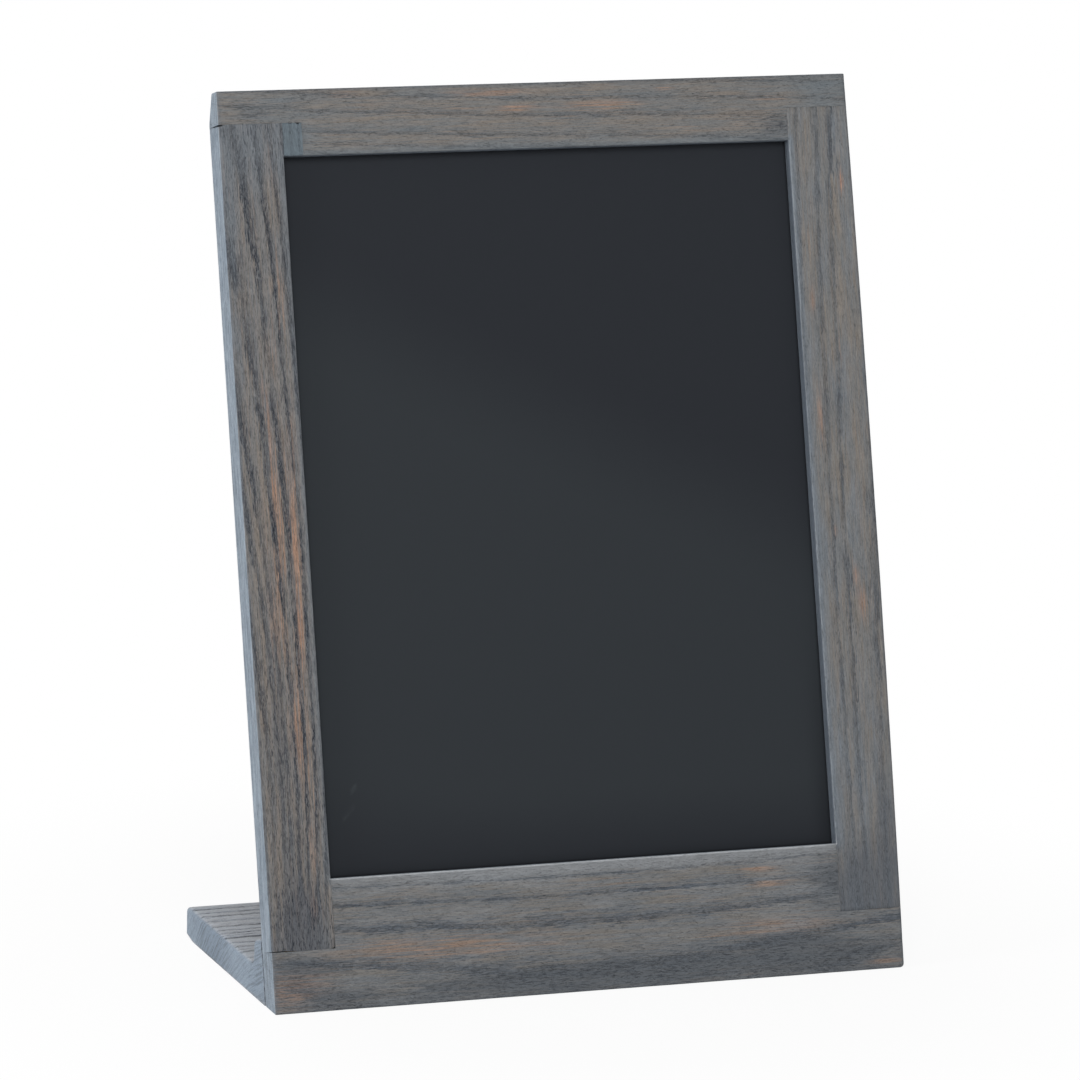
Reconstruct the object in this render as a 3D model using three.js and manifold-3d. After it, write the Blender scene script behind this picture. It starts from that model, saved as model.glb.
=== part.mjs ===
// Tabletop chalkboard: a stained ring-porous wood frame holds a thin dark writing sheet and leans
// back on a milled L-shaped base. Millimetres, +Z up. The writing side faces -Y. The origin is at
// the middle of the footprint, on the surface that the board stands on.

import * as THREE from "three";
import { mergeVertices } from "three/addons/utils/BufferGeometryUtils.js";
import Module from "manifold-3d";

const wasm = await Module();
wasm.setup();

// Frame, measured along its own face
const FACE_WIDTH = 261;
const FACE_HEIGHT = 356;
const FRAME_THICKNESS = 12.7;
const STILE_WIDTH = 25.7;
const TOP_RAIL_HEIGHT = 26;
const BOTTOM_RAIL_HEIGHT = 51;
const LEAN = THREE.MathUtils.degToRad(15);
const ARRIS = 0.8;
const RIGHT_EDGE_BOW = 1.1;

// Corner radii of the flat face, inside its eased edge
const TOP_FACE_CORNER = 0.1;
const LEFT_FOOT_FACE_CORNER = 0.1;
const RIGHT_FOOT_FACE_CORNER = 0.9;

// Corner joints: each rail is notched at its ends, and the stiles stand between the notches
const TOP_NOTCH_HEIGHT = 13;
const BOTTOM_NOTCH_HEIGHT = 27;
const JOINT_GAP = 0.3;

// The top left notch was cut longer than the stile is wide, and a small block closes it
const INFILL_WIDTH = 7.8;

// One dowel inside each corner joint, along the stile
const DOWEL_RADIUS = 2.5;
const DOWEL_IN_RAIL = 8;
const DOWEL_IN_STILE = 18;
const DOWEL_CHAMFER = 0.7;

// Rabbet behind the opening, and the bevel that thins the back of the top rail
const FRONT_LAYER = 4.5;
const RABBET_WIDTH = 8;
const TOP_EDGE_THICKNESS = 6.4;

// Writing sheet, and the board that backs it
const SHEET_THICKNESS = 0.6;
const BACKER_THICKNESS = 3;
const PANEL_CLEARANCE = 0.8;
const PANEL_CORNER_RADIUS = 2;

// Spring-steel glazing points, driven into the rabbet walls over the backer
const POINT_THICKNESS = 0.5;
const POINT_WIDTH = 6;
const POINT_LENGTH = 15;
const POINT_BITE = 5;
const POINT_TIP_LENGTH = 2.5;
const POINT_TIP_WIDTH = 2;
const POINT_CORNER_MARGIN = 48;
const POINTS_PER_STILE = 3;
const POINTS_PER_RAIL = 2;

// Base: a plank with an upstand along its front edge, milled from one piece
const FOOTPRINT_DEPTH = 118.5;
const BASE_THICKNESS = 12.5;
const BASE_CORNER_RADIUS = 0.8;
const UPSTAND_HEIGHT = 25;
const UPSTAND_THICKNESS = 9.9;
const UPSTAND_ROUND = 2.5;
const COVE_RADIUS = 3.5;
const REAR_TOP_ROUND = 2;
const RELIEF_LENGTH = 9;
const RELIEF_RISE = 1.6;
const END_ROUND = 2;

// Countersunk wood screws through the upstand into the bottom rail
const SCREW_COUNT = 3;
const SCREW_END_MARGIN = 40;
const SCREW_ABOVE_COVE = 2.4;
const SCREW_LENGTH = 20;
const SCREW_RADIUS = 1.75;
const SCREW_CORE_RADIUS = 0.8;
const SCREW_TIP_LENGTH = 4;
const SCREW_HEAD_RADIUS = 3.1;
const SCREW_HEAD_HEIGHT = 2.2;
const SCREW_HEAD_SUNK = 0.3;
const DRIVE_SLOT_WIDTH = 0.8;
const DRIVE_SLOT_LENGTH = 3.4;
const DRIVE_SLOT_DEPTH = 1.1;
const FASTENER_CLEARANCE = 0.3;

// Roundness of curved stretches
const ARC_STEPS = 6;
const ARRIS_STEPS = 3;
const BOW_STEPS = 12;
const ROUND_SIDES = 24;

// Places worked out from the sizes above
const halfWidth = FACE_WIDTH / 2;
const openingHalf = halfWidth - STILE_WIDTH;
const openingBottom = BOTTOM_RAIL_HEIGHT;
const openingTop = FACE_HEIGHT - TOP_RAIL_HEIGHT;
const rabbetHalf = openingHalf + RABBET_WIDTH;
const rabbetBottom = openingBottom - RABBET_WIDTH;
const rabbetTop = openingTop + RABBET_WIDTH;
const bottomJoint = openingBottom - BOTTOM_NOTCH_HEIGHT;
const topJoint = openingTop + TOP_NOTCH_HEIGHT;
const sheetFront = FRONT_LAYER + JOINT_GAP;
const backerFront = sheetFront + SHEET_THICKNESS + JOINT_GAP;
const pointFront = backerFront + BACKER_THICKNESS + JOINT_GAP;

// Corner radii of the outline, outside the eased edge
const topCorner = TOP_FACE_CORNER + ARRIS;
const leftFootCorner = LEFT_FOOT_FACE_CORNER + ARRIS;
const rightFootCorner = RIGHT_FOOT_FACE_CORNER + ARRIS;

// The eased front edge stands this far behind the line where face and table would meet
const easedSetback = ARRIS * Math.sin(LEAN);
const frontFootY = -(FOOTPRINT_DEPTH + easedSetback) / 2;
const rearFootY = frontFootY + FOOTPRINT_DEPTH;

// A cutting block reaches this far past what it cuts
const PAST = 20;

const materials = {
  wood: new THREE.MeshStandardMaterial({ color: 0x6d6c69, roughness: 0.62, metalness: 0 }),
  infill: new THREE.MeshStandardMaterial({ color: 0x66707a, roughness: 0.6, metalness: 0 }),
  dowel: new THREE.MeshStandardMaterial({ color: 0xc9a877, roughness: 0.7, metalness: 0 }),
  slate: new THREE.MeshStandardMaterial({ color: 0x323639, roughness: 0.48, metalness: 0 }),
  hardboard: new THREE.MeshStandardMaterial({ color: 0x6b4d33, roughness: 0.8, metalness: 0 }),
  steel: new THREE.MeshStandardMaterial({ color: 0xb4b6b8, roughness: 0.35, metalness: 1 }),
};

/** The closed body of a three.js geometry, ready to be cut or joined. */
function solid(geometry) {
  const bare = geometry.clone();
  for (const name of Object.keys(bare.attributes)) {
    if (name !== "position") bare.deleteAttribute(name);
  }
  const welded = mergeVertices(bare, 1e-4);
  return new wasm.Manifold(
    new wasm.Mesh({
      numProp: 3,
      vertProperties: new Float32Array(welded.attributes.position.array),
      triVerts: new Uint32Array(welded.index.array),
    }),
  );
}

/** A named mesh of a closed body. */
function meshOf(name, body, material) {
  const data = body.getMesh();
  const geometry = new THREE.BufferGeometry();
  geometry.setAttribute("position", new THREE.BufferAttribute(data.vertProperties, 3));
  geometry.setIndex(new THREE.BufferAttribute(data.triVerts, 1));
  const facets = geometry.toNonIndexed();
  facets.computeVertexNormals();
  const mesh = new THREE.Mesh(facets, material);
  mesh.name = name;
  return mesh;
}

/** A block between two corners. */
function block([x0, y0, z0], [x1, y1, z1]) {
  const geometry = new THREE.BoxGeometry(x1 - x0, y1 - y0, z1 - z0);
  geometry.translate((x0 + x1) / 2, (y0 + y1) / 2, (z0 + z1) / 2);
  return solid(geometry);
}

/** A sheet-like body: an outline in the plane of the face, from one depth behind the face to another. */
function plate(outline, front, back, arris = 0) {
  const geometry = new THREE.ExtrudeGeometry(outline, {
    depth: back - front - 2 * arris,
    curveSegments: ARC_STEPS,
    bevelEnabled: arris > 0,
    bevelThickness: arris,
    bevelSize: arris,
    bevelOffset: -arris,
    bevelSegments: ARRIS_STEPS,
  });
  geometry.rotateX(Math.PI / 2);
  geometry.translate(0, back - arris, 0);
  return solid(geometry);
}

/** A profile drawn in (y, z), run along x and centred, with its end edges rounded over. */
function alongX(profile, length, endRound = 0) {
  const geometry = new THREE.ExtrudeGeometry(profile, {
    depth: length - 2 * endRound,
    curveSegments: ARC_STEPS,
    bevelEnabled: endRound > 0,
    bevelThickness: endRound,
    bevelSize: endRound,
    bevelOffset: -endRound,
    bevelSegments: ARRIS_STEPS,
  });
  const profileUpright = new THREE.Matrix4().makeBasis(
    new THREE.Vector3(0, 1, 0),
    new THREE.Vector3(0, 0, 1),
    new THREE.Vector3(1, 0, 0),
  );
  geometry.applyMatrix4(profileUpright);
  geometry.translate(-length / 2 + endRound, 0, 0);
  return geometry;
}

/** Evenly spaced places from -reach to +reach. */
function spread(count, reach) {
  if (count === 1) return [0];
  return Array.from({ length: count }, (_, i) => reach * ((2 * i) / (count - 1) - 1));
}

// The leaning board's own axes are x, depth behind the face, and height up the face
const boardPlace = new THREE.Matrix4()
  .makeTranslation(0, frontFootY, 0)
  .multiply(new THREE.Matrix4().makeRotationX(-LEAN));
const boardView = boardPlace.clone().invert();

/** A body placed in the part's axes, as the leaning board sees it. */
function seenByBoard(geometry) {
  return solid(geometry.clone().applyMatrix4(boardView));
}

/** Where the front of the upstand lies, at a height above the table. */
function seamY(height) {
  return frontFootY + (FRAME_THICKNESS + JOINT_GAP) / Math.cos(LEAN) + height * Math.tan(LEAN);
}

const upstandRearY = seamY(UPSTAND_HEIGHT) + UPSTAND_THICKNESS;
const screwZ = BASE_THICKNESS + COVE_RADIUS + SCREW_ABOVE_COVE;
const screwPlaces = spread(SCREW_COUNT, halfWidth - SCREW_END_MARGIN);

/** The frame's outline. Its right edge bows out a little between the corners. */
function frameOutline() {
  const left = leftFootCorner;
  const low = rightFootCorner;
  const high = FACE_HEIGHT - topCorner;
  const shape = new THREE.Shape();
  shape.moveTo(-halfWidth + left, 0);
  shape.absarc(halfWidth - low, low, low, -Math.PI / 2, 0);
  for (let i = 1; i < BOW_STEPS; i++) {
    const along = i / BOW_STEPS;
    const out = RIGHT_EDGE_BOW * 4 * along * (1 - along);
    shape.lineTo(halfWidth + out, THREE.MathUtils.lerp(low, high, along));
  }
  shape.absarc(halfWidth - topCorner, high, topCorner, 0, Math.PI / 2);
  shape.absarc(-halfWidth + topCorner, high, topCorner, Math.PI / 2, Math.PI);
  shape.absarc(-halfWidth + left, left, left, Math.PI, 1.5 * Math.PI);
  return shape;
}

/** The frame as it is after glue-up: outline, opening, eased edges, rabbet, bevel and level foot. */
function frameBlank() {
  const outline = frameOutline();
  const opening = new THREE.Path();
  opening.moveTo(-openingHalf, openingBottom);
  opening.lineTo(-openingHalf, openingTop);
  opening.lineTo(openingHalf, openingTop);
  opening.lineTo(openingHalf, openingBottom);
  opening.closePath();
  outline.holes.push(opening);

  const rabbet = block(
    [-rabbetHalf, FRONT_LAYER, rabbetBottom],
    [rabbetHalf, FRAME_THICKNESS + PAST, rabbetTop],
  );
  const table = new THREE.BoxGeometry(FACE_WIDTH + 2 * PAST, FOOTPRINT_DEPTH + 2 * PAST, PAST);
  table.translate(0, 0, -PAST / 2);

  return plate(outline, 0, FRAME_THICKNESS, ARRIS)
    .subtract(rabbet)
    .subtract(backBevel())
    .subtract(seenByBoard(table));
}

/** How thick the top rail is at a height up the face. */
function topRailThickness(height) {
  const share = (height - topJoint) / (FACE_HEIGHT - topJoint);
  return THREE.MathUtils.lerp(FRAME_THICKNESS, TOP_EDGE_THICKNESS, Math.max(share, 0));
}

/** What is planed off the back of the top rail, from the joints upwards. */
function backBevel() {
  const above = FACE_HEIGHT + PAST;
  const wedge = new THREE.Shape();
  wedge.moveTo(FRAME_THICKNESS, topJoint);
  wedge.lineTo(FRAME_THICKNESS + PAST, topJoint);
  wedge.lineTo(FRAME_THICKNESS + PAST, above);
  wedge.lineTo(topRailThickness(above), above);
  wedge.closePath();
  return solid(alongX(wedge, FACE_WIDTH + 2 * PAST));
}

/** A block between two places across the face and two heights up it, through the whole thickness. */
function board([x0, x1], [low, high], past = 0) {
  return block([Math.min(x0, x1), -past, low], [Math.max(x0, x1), FRAME_THICKNESS + past, high]);
}

/** The notch in a rail's end that takes a stile. side is -1 at the left and 1 at the right. */
function notch(side, width, low, high) {
  const outer = side * (halfWidth + PAST);
  const inner = side * (halfWidth - width - JOINT_GAP / 2);
  return board([outer, inner], [low, high], PAST);
}

/** The top rail: full width above the joints, and between the stiles below them. */
function topRailStock() {
  return board([-halfWidth - PAST, halfWidth + PAST], [openingTop, FACE_HEIGHT])
    .subtract(notch(-1, STILE_WIDTH + INFILL_WIDTH, openingTop - PAST, topJoint))
    .subtract(notch(1, STILE_WIDTH, openingTop - PAST, topJoint));
}

/** The bottom rail: as the top one, but taller. */
function bottomRailStock() {
  return board([-halfWidth - PAST, halfWidth + PAST], [-PAST, openingBottom])
    .subtract(notch(-1, STILE_WIDTH, bottomJoint, openingBottom + PAST))
    .subtract(notch(1, STILE_WIDTH, bottomJoint, openingBottom + PAST));
}

/** A stile, from one joint to the other. */
function stileStock(side) {
  const outer = side * (halfWidth + PAST);
  const inner = side * (openingHalf + JOINT_GAP / 2);
  return board([outer, inner], [bottomJoint + JOINT_GAP, topJoint - JOINT_GAP]);
}

/** The block that closes the over-long notch beside the top left joint. */
function infillStock() {
  const left = -openingHalf + JOINT_GAP / 2;
  return board(
    [left, left + INFILL_WIDTH - JOINT_GAP],
    [openingTop, topJoint - JOINT_GAP],
  );
}

/** The outline that the writing sheet and its backer share, clear of the rabbet all round. */
function panelOutline() {
  const right = rabbetHalf - PANEL_CLEARANCE;
  const low = rabbetBottom + PANEL_CLEARANCE;
  const high = rabbetTop - PANEL_CLEARANCE;
  const r = PANEL_CORNER_RADIUS;
  const shape = new THREE.Shape();
  shape.absarc(right - r, low + r, r, -Math.PI / 2, 0);
  shape.absarc(right - r, high - r, r, 0, Math.PI / 2);
  shape.absarc(-right + r, high - r, r, Math.PI / 2, Math.PI);
  shape.absarc(-right + r, low + r, r, Math.PI, 1.5 * Math.PI);
  shape.closePath();
  return shape;
}

/** Where the dowels stand: behind the face, across it, and at which joint they pass. */
const dowelTip = topJoint + DOWEL_IN_RAIL;
const dowelDepth = topRailThickness(dowelTip) / 2;
const dowelX = (halfWidth + rabbetHalf) / 2;
const dowels = [
  { name: "dowel_top_left", x: -dowelX, joint: topJoint, up: 1 },
  { name: "dowel_top_right", x: dowelX, joint: topJoint, up: 1 },
  { name: "dowel_bottom_left", x: -dowelX, joint: bottomJoint, up: -1 },
  { name: "dowel_bottom_right", x: dowelX, joint: bottomJoint, up: -1 },
];

/** A dowel with chamfered ends, or its hole when grown by a clearance. up points into the rail. */
function dowelBody({ x, joint, up }, grow = 0) {
  const r = DOWEL_RADIUS + grow;
  const railEnd = DOWEL_IN_RAIL + grow;
  const stileEnd = -DOWEL_IN_STILE - grow;
  const profile = [
    new THREE.Vector2(0, stileEnd),
    new THREE.Vector2(r - DOWEL_CHAMFER, stileEnd),
    new THREE.Vector2(r, stileEnd + DOWEL_CHAMFER),
    new THREE.Vector2(r, railEnd - DOWEL_CHAMFER),
    new THREE.Vector2(r - DOWEL_CHAMFER, railEnd),
    new THREE.Vector2(0, railEnd),
  ];
  const geometry = new THREE.LatheGeometry(profile, ROUND_SIDES);
  geometry.rotateX(up * (Math.PI / 2));
  geometry.translate(x, dowelDepth, joint);
  return solid(geometry);
}

/** A glazing point's outline: a square tail over the backer and a tapered tip in the wood. */
function pointOutline(grow = 0) {
  const half = POINT_WIDTH / 2 + grow;
  const halfTip = POINT_TIP_WIDTH / 2 + grow;
  const tail = POINT_BITE - POINT_LENGTH - grow;
  const tip = POINT_BITE + grow;
  const shape = new THREE.Shape();
  shape.moveTo(-half, tail);
  shape.lineTo(half, tail);
  shape.lineTo(half, tip - POINT_TIP_LENGTH);
  shape.lineTo(halfTip, tip);
  shape.lineTo(-halfTip, tip);
  shape.lineTo(-half, tip - POINT_TIP_LENGTH);
  shape.closePath();
  return shape;
}

/** Each glazing point's name, place on the rabbet wall, and turn in the plane of the face. */
function pointPlaces() {
  const middle = (rabbetBottom + rabbetTop) / 2;
  const upReach = (rabbetTop - rabbetBottom) / 2 - POINT_CORNER_MARGIN;
  const acrossReach = rabbetHalf - POINT_CORNER_MARGIN;
  const places = [];
  for (const [i, up] of spread(POINTS_PER_STILE, upReach).entries()) {
    const z = middle + up;
    places.push({ name: `glazing_point_left_${i + 1}`, x: -rabbetHalf, z, turn: Math.PI / 2 });
    places.push({ name: `glazing_point_right_${i + 1}`, x: rabbetHalf, z, turn: -Math.PI / 2 });
  }
  for (const [i, x] of spread(POINTS_PER_RAIL, acrossReach).entries()) {
    places.push({ name: `glazing_point_top_${i + 1}`, x, z: rabbetTop, turn: 0 });
    places.push({ name: `glazing_point_bottom_${i + 1}`, x, z: rabbetBottom, turn: Math.PI });
  }
  return places;
}

/** A glazing point, or the slot that it is driven into when grown by a clearance. */
function pointBody({ x, z, turn }, grow = 0) {
  const geometry = new THREE.ExtrudeGeometry(pointOutline(grow), {
    depth: POINT_THICKNESS + 2 * grow,
    bevelEnabled: false,
  });
  geometry.rotateZ(turn);
  geometry.rotateX(Math.PI / 2);
  geometry.translate(x, pointFront + POINT_THICKNESS + grow, z);
  return solid(geometry);
}

/** Carries a section of the base on from the plank's top, through the cove, to the upstand's top. */
function followUpstand(shape) {
  const topFall = (UPSTAND_THICKNESS - UPSTAND_ROUND) * Math.tan(LEAN);
  const upstandRoundZ = UPSTAND_HEIGHT - topFall - UPSTAND_ROUND / Math.cos(LEAN);
  shape.absarc(
    upstandRearY + COVE_RADIUS, BASE_THICKNESS + COVE_RADIUS, COVE_RADIUS,
    1.5 * Math.PI, Math.PI, true,
  );
  shape.absarc(upstandRearY - UPSTAND_ROUND, upstandRoundZ, UPSTAND_ROUND, 0, Math.PI / 2 - LEAN);
}

/** The base's section: leaning front, square-cut upstand top, cove, and a relief under the rear edge. */
function baseProfile() {
  const rearRoundZ = BASE_THICKNESS - REAR_TOP_ROUND;
  const shape = new THREE.Shape();
  shape.moveTo(seamY(0), 0);
  shape.lineTo(rearFootY - RELIEF_LENGTH, 0);
  shape.lineTo(rearFootY, RELIEF_RISE);
  shape.absarc(rearFootY - REAR_TOP_ROUND, rearRoundZ, REAR_TOP_ROUND, 0, Math.PI / 2);
  followUpstand(shape);
  shape.lineTo(seamY(UPSTAND_HEIGHT), UPSTAND_HEIGHT);
  shape.closePath();
  return shape;
}

/** What a rounding-over of the upper end edges leaves. It runs past the front, rear and underside. */
function baseWithRoundedEnds() {
  const shape = new THREE.Shape();
  shape.moveTo(seamY(0) - PAST, -PAST);
  shape.lineTo(rearFootY + PAST, -PAST);
  shape.lineTo(rearFootY + PAST, BASE_THICKNESS);
  followUpstand(shape);
  shape.lineTo(seamY(UPSTAND_HEIGHT) - PAST, UPSTAND_HEIGHT + PAST * Math.tan(LEAN));
  shape.closePath();
  return solid(alongX(shape, FACE_WIDTH, END_ROUND));
}

/** The base seen from above: square at the front, with rounded rear corners. */
function basePlan() {
  const r = BASE_CORNER_RADIUS;
  const shape = new THREE.Shape();
  shape.moveTo(-halfWidth, frontFootY - PAST);
  shape.lineTo(halfWidth, frontFootY - PAST);
  shape.absarc(halfWidth - r, rearFootY - r, r, 0, Math.PI / 2);
  shape.absarc(-halfWidth + r, rearFootY - r, r, Math.PI / 2, Math.PI);
  shape.closePath();
  const geometry = new THREE.ExtrudeGeometry(shape, {
    depth: UPSTAND_HEIGHT + 2 * PAST,
    curveSegments: ARC_STEPS,
    bevelEnabled: false,
  });
  geometry.translate(0, 0, -PAST);
  return solid(geometry);
}

/** A wood screw with its head at the back of the upstand, or its hole when grown by a clearance. */
function screwGeometry(x, grow = 0) {
  const head = SCREW_HEAD_RADIUS + grow;
  const shank = SCREW_RADIUS + grow;
  const mouth = grow > 0 ? SCREW_HEAD_SUNK + PAST : 0;
  const profile = [
    new THREE.Vector2(0, -SCREW_LENGTH - grow),
    new THREE.Vector2(SCREW_CORE_RADIUS + grow, -SCREW_LENGTH - grow),
    new THREE.Vector2(shank, -SCREW_LENGTH + SCREW_TIP_LENGTH),
    new THREE.Vector2(shank, -SCREW_HEAD_HEIGHT - grow),
    new THREE.Vector2(head, -grow),
    new THREE.Vector2(head, mouth),
    new THREE.Vector2(0, mouth),
  ];
  const geometry = new THREE.LatheGeometry(profile.filter(differsFromLast), ROUND_SIDES);
  geometry.translate(x, upstandRearY - SCREW_HEAD_SUNK, screwZ);
  return geometry;
}

/** Whether a profile's point lies apart from the one before it. */
function differsFromLast(point, i, points) {
  return i === 0 || !point.equals(points[i - 1]);
}

/** The cross in a screw's head. */
function driveRecess(x) {
  const floor = upstandRearY - SCREW_HEAD_SUNK - DRIVE_SLOT_DEPTH;
  const arm = (halfX, halfZ) =>
    block([x - halfX, floor, screwZ - halfZ], [x + halfX, upstandRearY + PAST, screwZ + halfZ]);
  const long = DRIVE_SLOT_LENGTH / 2;
  const thin = DRIVE_SLOT_WIDTH / 2;
  return arm(long, thin).add(arm(thin, long));
}

/** The frame's members and joints, the writing sheet, its backer and the glazing points. */
function buildBoard() {
  const group = new THREE.Group();
  group.applyMatrix4(boardPlace);

  const points = pointPlaces();
  let blank = frameBlank();
  for (const place of points) blank = blank.subtract(pointBody(place, FASTENER_CLEARANCE));
  for (const place of dowels) blank = blank.subtract(dowelBody(place, FASTENER_CLEARANCE));
  for (const x of screwPlaces) blank = blank.subtract(seenByBoard(screwGeometry(x, FASTENER_CLEARANCE)));

  const members = {
    top_rail: topRailStock(),
    bottom_rail: bottomRailStock(),
    left_stile: stileStock(-1),
    right_stile: stileStock(1),
  };
  for (const [name, stock] of Object.entries(members)) {
    group.add(meshOf(name, stock.intersect(blank), materials.wood));
  }
  group.add(meshOf("joint_infill", infillStock().intersect(blank), materials.infill));

  const outline = panelOutline();
  const sheet = plate(outline, sheetFront, sheetFront + SHEET_THICKNESS);
  const backer = plate(outline, backerFront, backerFront + BACKER_THICKNESS);
  group.add(meshOf("writing_sheet", sheet, materials.slate));
  group.add(meshOf("backer_board", backer, materials.hardboard));
  for (const place of dowels) group.add(meshOf(place.name, dowelBody(place), materials.dowel));
  for (const place of points) group.add(meshOf(place.name, pointBody(place), materials.steel));
  return group;
}

/** The base and its screws. */
function buildBase() {
  const group = new THREE.Group();
  let plank = solid(alongX(baseProfile(), FACE_WIDTH))
    .intersect(baseWithRoundedEnds())
    .intersect(basePlan());
  for (const x of screwPlaces) plank = plank.subtract(solid(screwGeometry(x, FASTENER_CLEARANCE)));
  group.add(meshOf("base_plank", plank, materials.wood));
  for (const [i, x] of screwPlaces.entries()) {
    const screw = solid(screwGeometry(x)).subtract(driveRecess(x));
    group.add(meshOf(`base_screw_${i + 1}`, screw, materials.steel));
  }
  return group;
}

const chalkboard = new THREE.Group();
chalkboard.position.x = -RIGHT_EDGE_BOW / 2;
chalkboard.add(buildBoard(), buildBase());

export default chalkboard;
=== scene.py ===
"""Tabletop chalkboard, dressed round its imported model.

The members of the frame, the writing sheet and the base are built here to the sizes of the part, in
millimetres, and handed to Blender in metres. The dowels, glazing points, screws and backer board stay as
packed and only get their finishes.
"""

import logging
import math
from dataclasses import dataclass
from enum import Enum
from typing import Callable, Iterable, Sequence

import bmesh
import bpy
import numpy as np
from mathutils import Matrix, Vector


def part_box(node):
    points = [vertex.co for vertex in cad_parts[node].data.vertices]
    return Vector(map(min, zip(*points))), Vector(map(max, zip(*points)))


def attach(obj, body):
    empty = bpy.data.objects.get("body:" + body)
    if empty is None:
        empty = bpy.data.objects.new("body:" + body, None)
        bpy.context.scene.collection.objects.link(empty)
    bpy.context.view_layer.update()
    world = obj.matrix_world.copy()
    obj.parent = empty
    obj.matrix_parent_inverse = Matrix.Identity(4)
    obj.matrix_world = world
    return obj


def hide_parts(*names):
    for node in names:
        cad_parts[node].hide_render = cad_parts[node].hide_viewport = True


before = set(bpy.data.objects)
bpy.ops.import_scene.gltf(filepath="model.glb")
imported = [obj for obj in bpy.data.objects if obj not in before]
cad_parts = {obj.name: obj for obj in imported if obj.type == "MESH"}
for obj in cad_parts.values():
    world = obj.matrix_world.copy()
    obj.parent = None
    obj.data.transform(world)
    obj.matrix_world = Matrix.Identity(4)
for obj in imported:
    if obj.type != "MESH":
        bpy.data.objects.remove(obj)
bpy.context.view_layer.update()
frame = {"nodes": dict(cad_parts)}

MM = 0.001
BODY = "root"
SHARP_ANGLE = math.radians(38.0)
EDGE_TURNS = (0, 25, 45, 65, 90)
GAP = 0.3
TINY = 1e-9
WHITE = (1.0, 1.0, 1.0, 1.0)

Colour = tuple[float, float, float, float]
Array = np.ndarray
Material = bpy.types.Material
Piece = bpy.types.Object
Socket = bpy.types.NodeSocket
Holds = Callable[[Array, Array], Array]

log = logging.getLogger("chalkboard")


class Side(Enum):
    """The two upright sides of the frame, as seen from the front."""

    LEFT = -1
    RIGHT = 1


class GrainRun(Enum):
    """Which of the board's axes a piece's grain follows: its place in (across, depth, up)."""

    ACROSS = 0
    UP = 2


class EndGrain(Enum):
    """What the fine lines follow where a piece's grain is cut square."""

    FACE = "the face of the piece"
    RINGS = "its yearly rings"


class Figure(Enum):
    """The noises that stained wood is drawn with.

    Each holds the length and the width of its clouds in mm, the number that keeps it unlike the others, and
    how many finer layers it has.
    """

    RING_STRAYING = (14.0, 3.0, 1, 2.0)
    RING_FEATHERS = (5.5, 0.55, 2, 3.0)
    WASH_PATCHES = (24.0, 7.0, 3, 2.0)
    SHORT_PORES = (1.9, 0.28, 4, 2.0)
    STREWN_PORES = (3.0, 0.32, 5, 2.0)
    PITS = (1.9, 0.2, 6, 1.0)
    THREADS = (40.0, 1.0, 7, 3.0)
    BARE_CLOUDS = (46.0, 8.0, 8, 2.0)
    BROWNING = (30.0, 3.0, 9, 2.0)
    VEIL_DRIFT = (32.0, 6.0, 10, 3.0)
    POOL_EDGES = (18.0, 2.0, 11, 3.0)
    FINE_FIBRES = (4.0, 0.32, 12, 3.0)
    BROAD_FIBRES = (11.0, 0.9, 13, 3.0)
    GRIT = (1.1, 0.4, 14, 2.0)
    LONG_PORES = (4.6, 0.36, 15, 2.0)
    WALL_STREAKS = (26.0, 0.8, 16, 3.0)
    WALL_CLOUDS = (9.0, 5.0, 17, 2.0)


def eased(distance: Array, radius: Array | float) -> Array:
    """How far a rounded edge has fallen away, at a distance in from it. Past the radius, it hasn't."""
    short = np.clip(radius - distance, 0.0, radius)
    return radius - np.sqrt(np.maximum(np.square(radius) - np.square(short), 0.0))


def smooth(share: Array) -> Array:
    """A share clipped to 0 and 1, with a soft start and end."""
    held = np.clip(share, 0.0, 1.0)
    return held * held * (3.0 - 2.0 * held)


def stacked(*parts: Array) -> Array:
    """Arrays of coordinates, side by side along a new last axis."""
    return np.stack(parts, axis=-1)


def ruled(stops: Iterable[float], step: float) -> Array:
    """Lines through every stop, with even ones between.

    Args:
        stops: places that each need a line, in mm.
        step: the widest that two lines may lie apart, in mm.

    Returns:
        The places of all the lines, in rising order.
    """
    marks = sorted(set(round(stop, 4) for stop in stops))
    lines = [marks[0]]
    for low, high in zip(marks, marks[1:]):
        pieces = max(1, math.ceil((high - low) / step - 1e-6))
        lines.extend(low + (high - low) * (i + 1) / pieces for i in range(pieces))
    return np.array(lines)


def edge_stops(edge: float, inward: int, radius: float) -> list[float]:
    """The stops that a rounded edge needs to look round, from the edge inwards."""
    return [edge + inward * radius * (1.0 - math.cos(math.radians(turn))) for turn in EDGE_TURNS]


def round_corners(
    across: Array, up: Array, half_width: float, half_height: float, radius: Array | float
) -> tuple[Array, Array]:
    """Pulls what lies in a face's square corners onto round ones. Lengths in mm, from the face's middle.

    Args:
        across: how far each place lies across.
        up: how far it lies up.
        half_width: half the face's width.
        half_height: half its height.
        radius: the radius of the corner nearest to each place.

    Returns:
        How far across and up each place lies after the pull.
    """
    flat_across, flat_up = half_width - radius, half_height - radius
    beside, beyond = np.abs(across) - flat_across, np.abs(up) - flat_up
    corner = (beside > 0.0) & (beyond > 0.0)
    square = np.maximum(beside, beyond)
    pull = np.where(corner, square / np.maximum(np.hypot(beside, beyond), TINY), 1.0)
    return np.sign(across) * (flat_across + beside * pull), np.sign(up) * (flat_up + beyond * pull)


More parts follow.
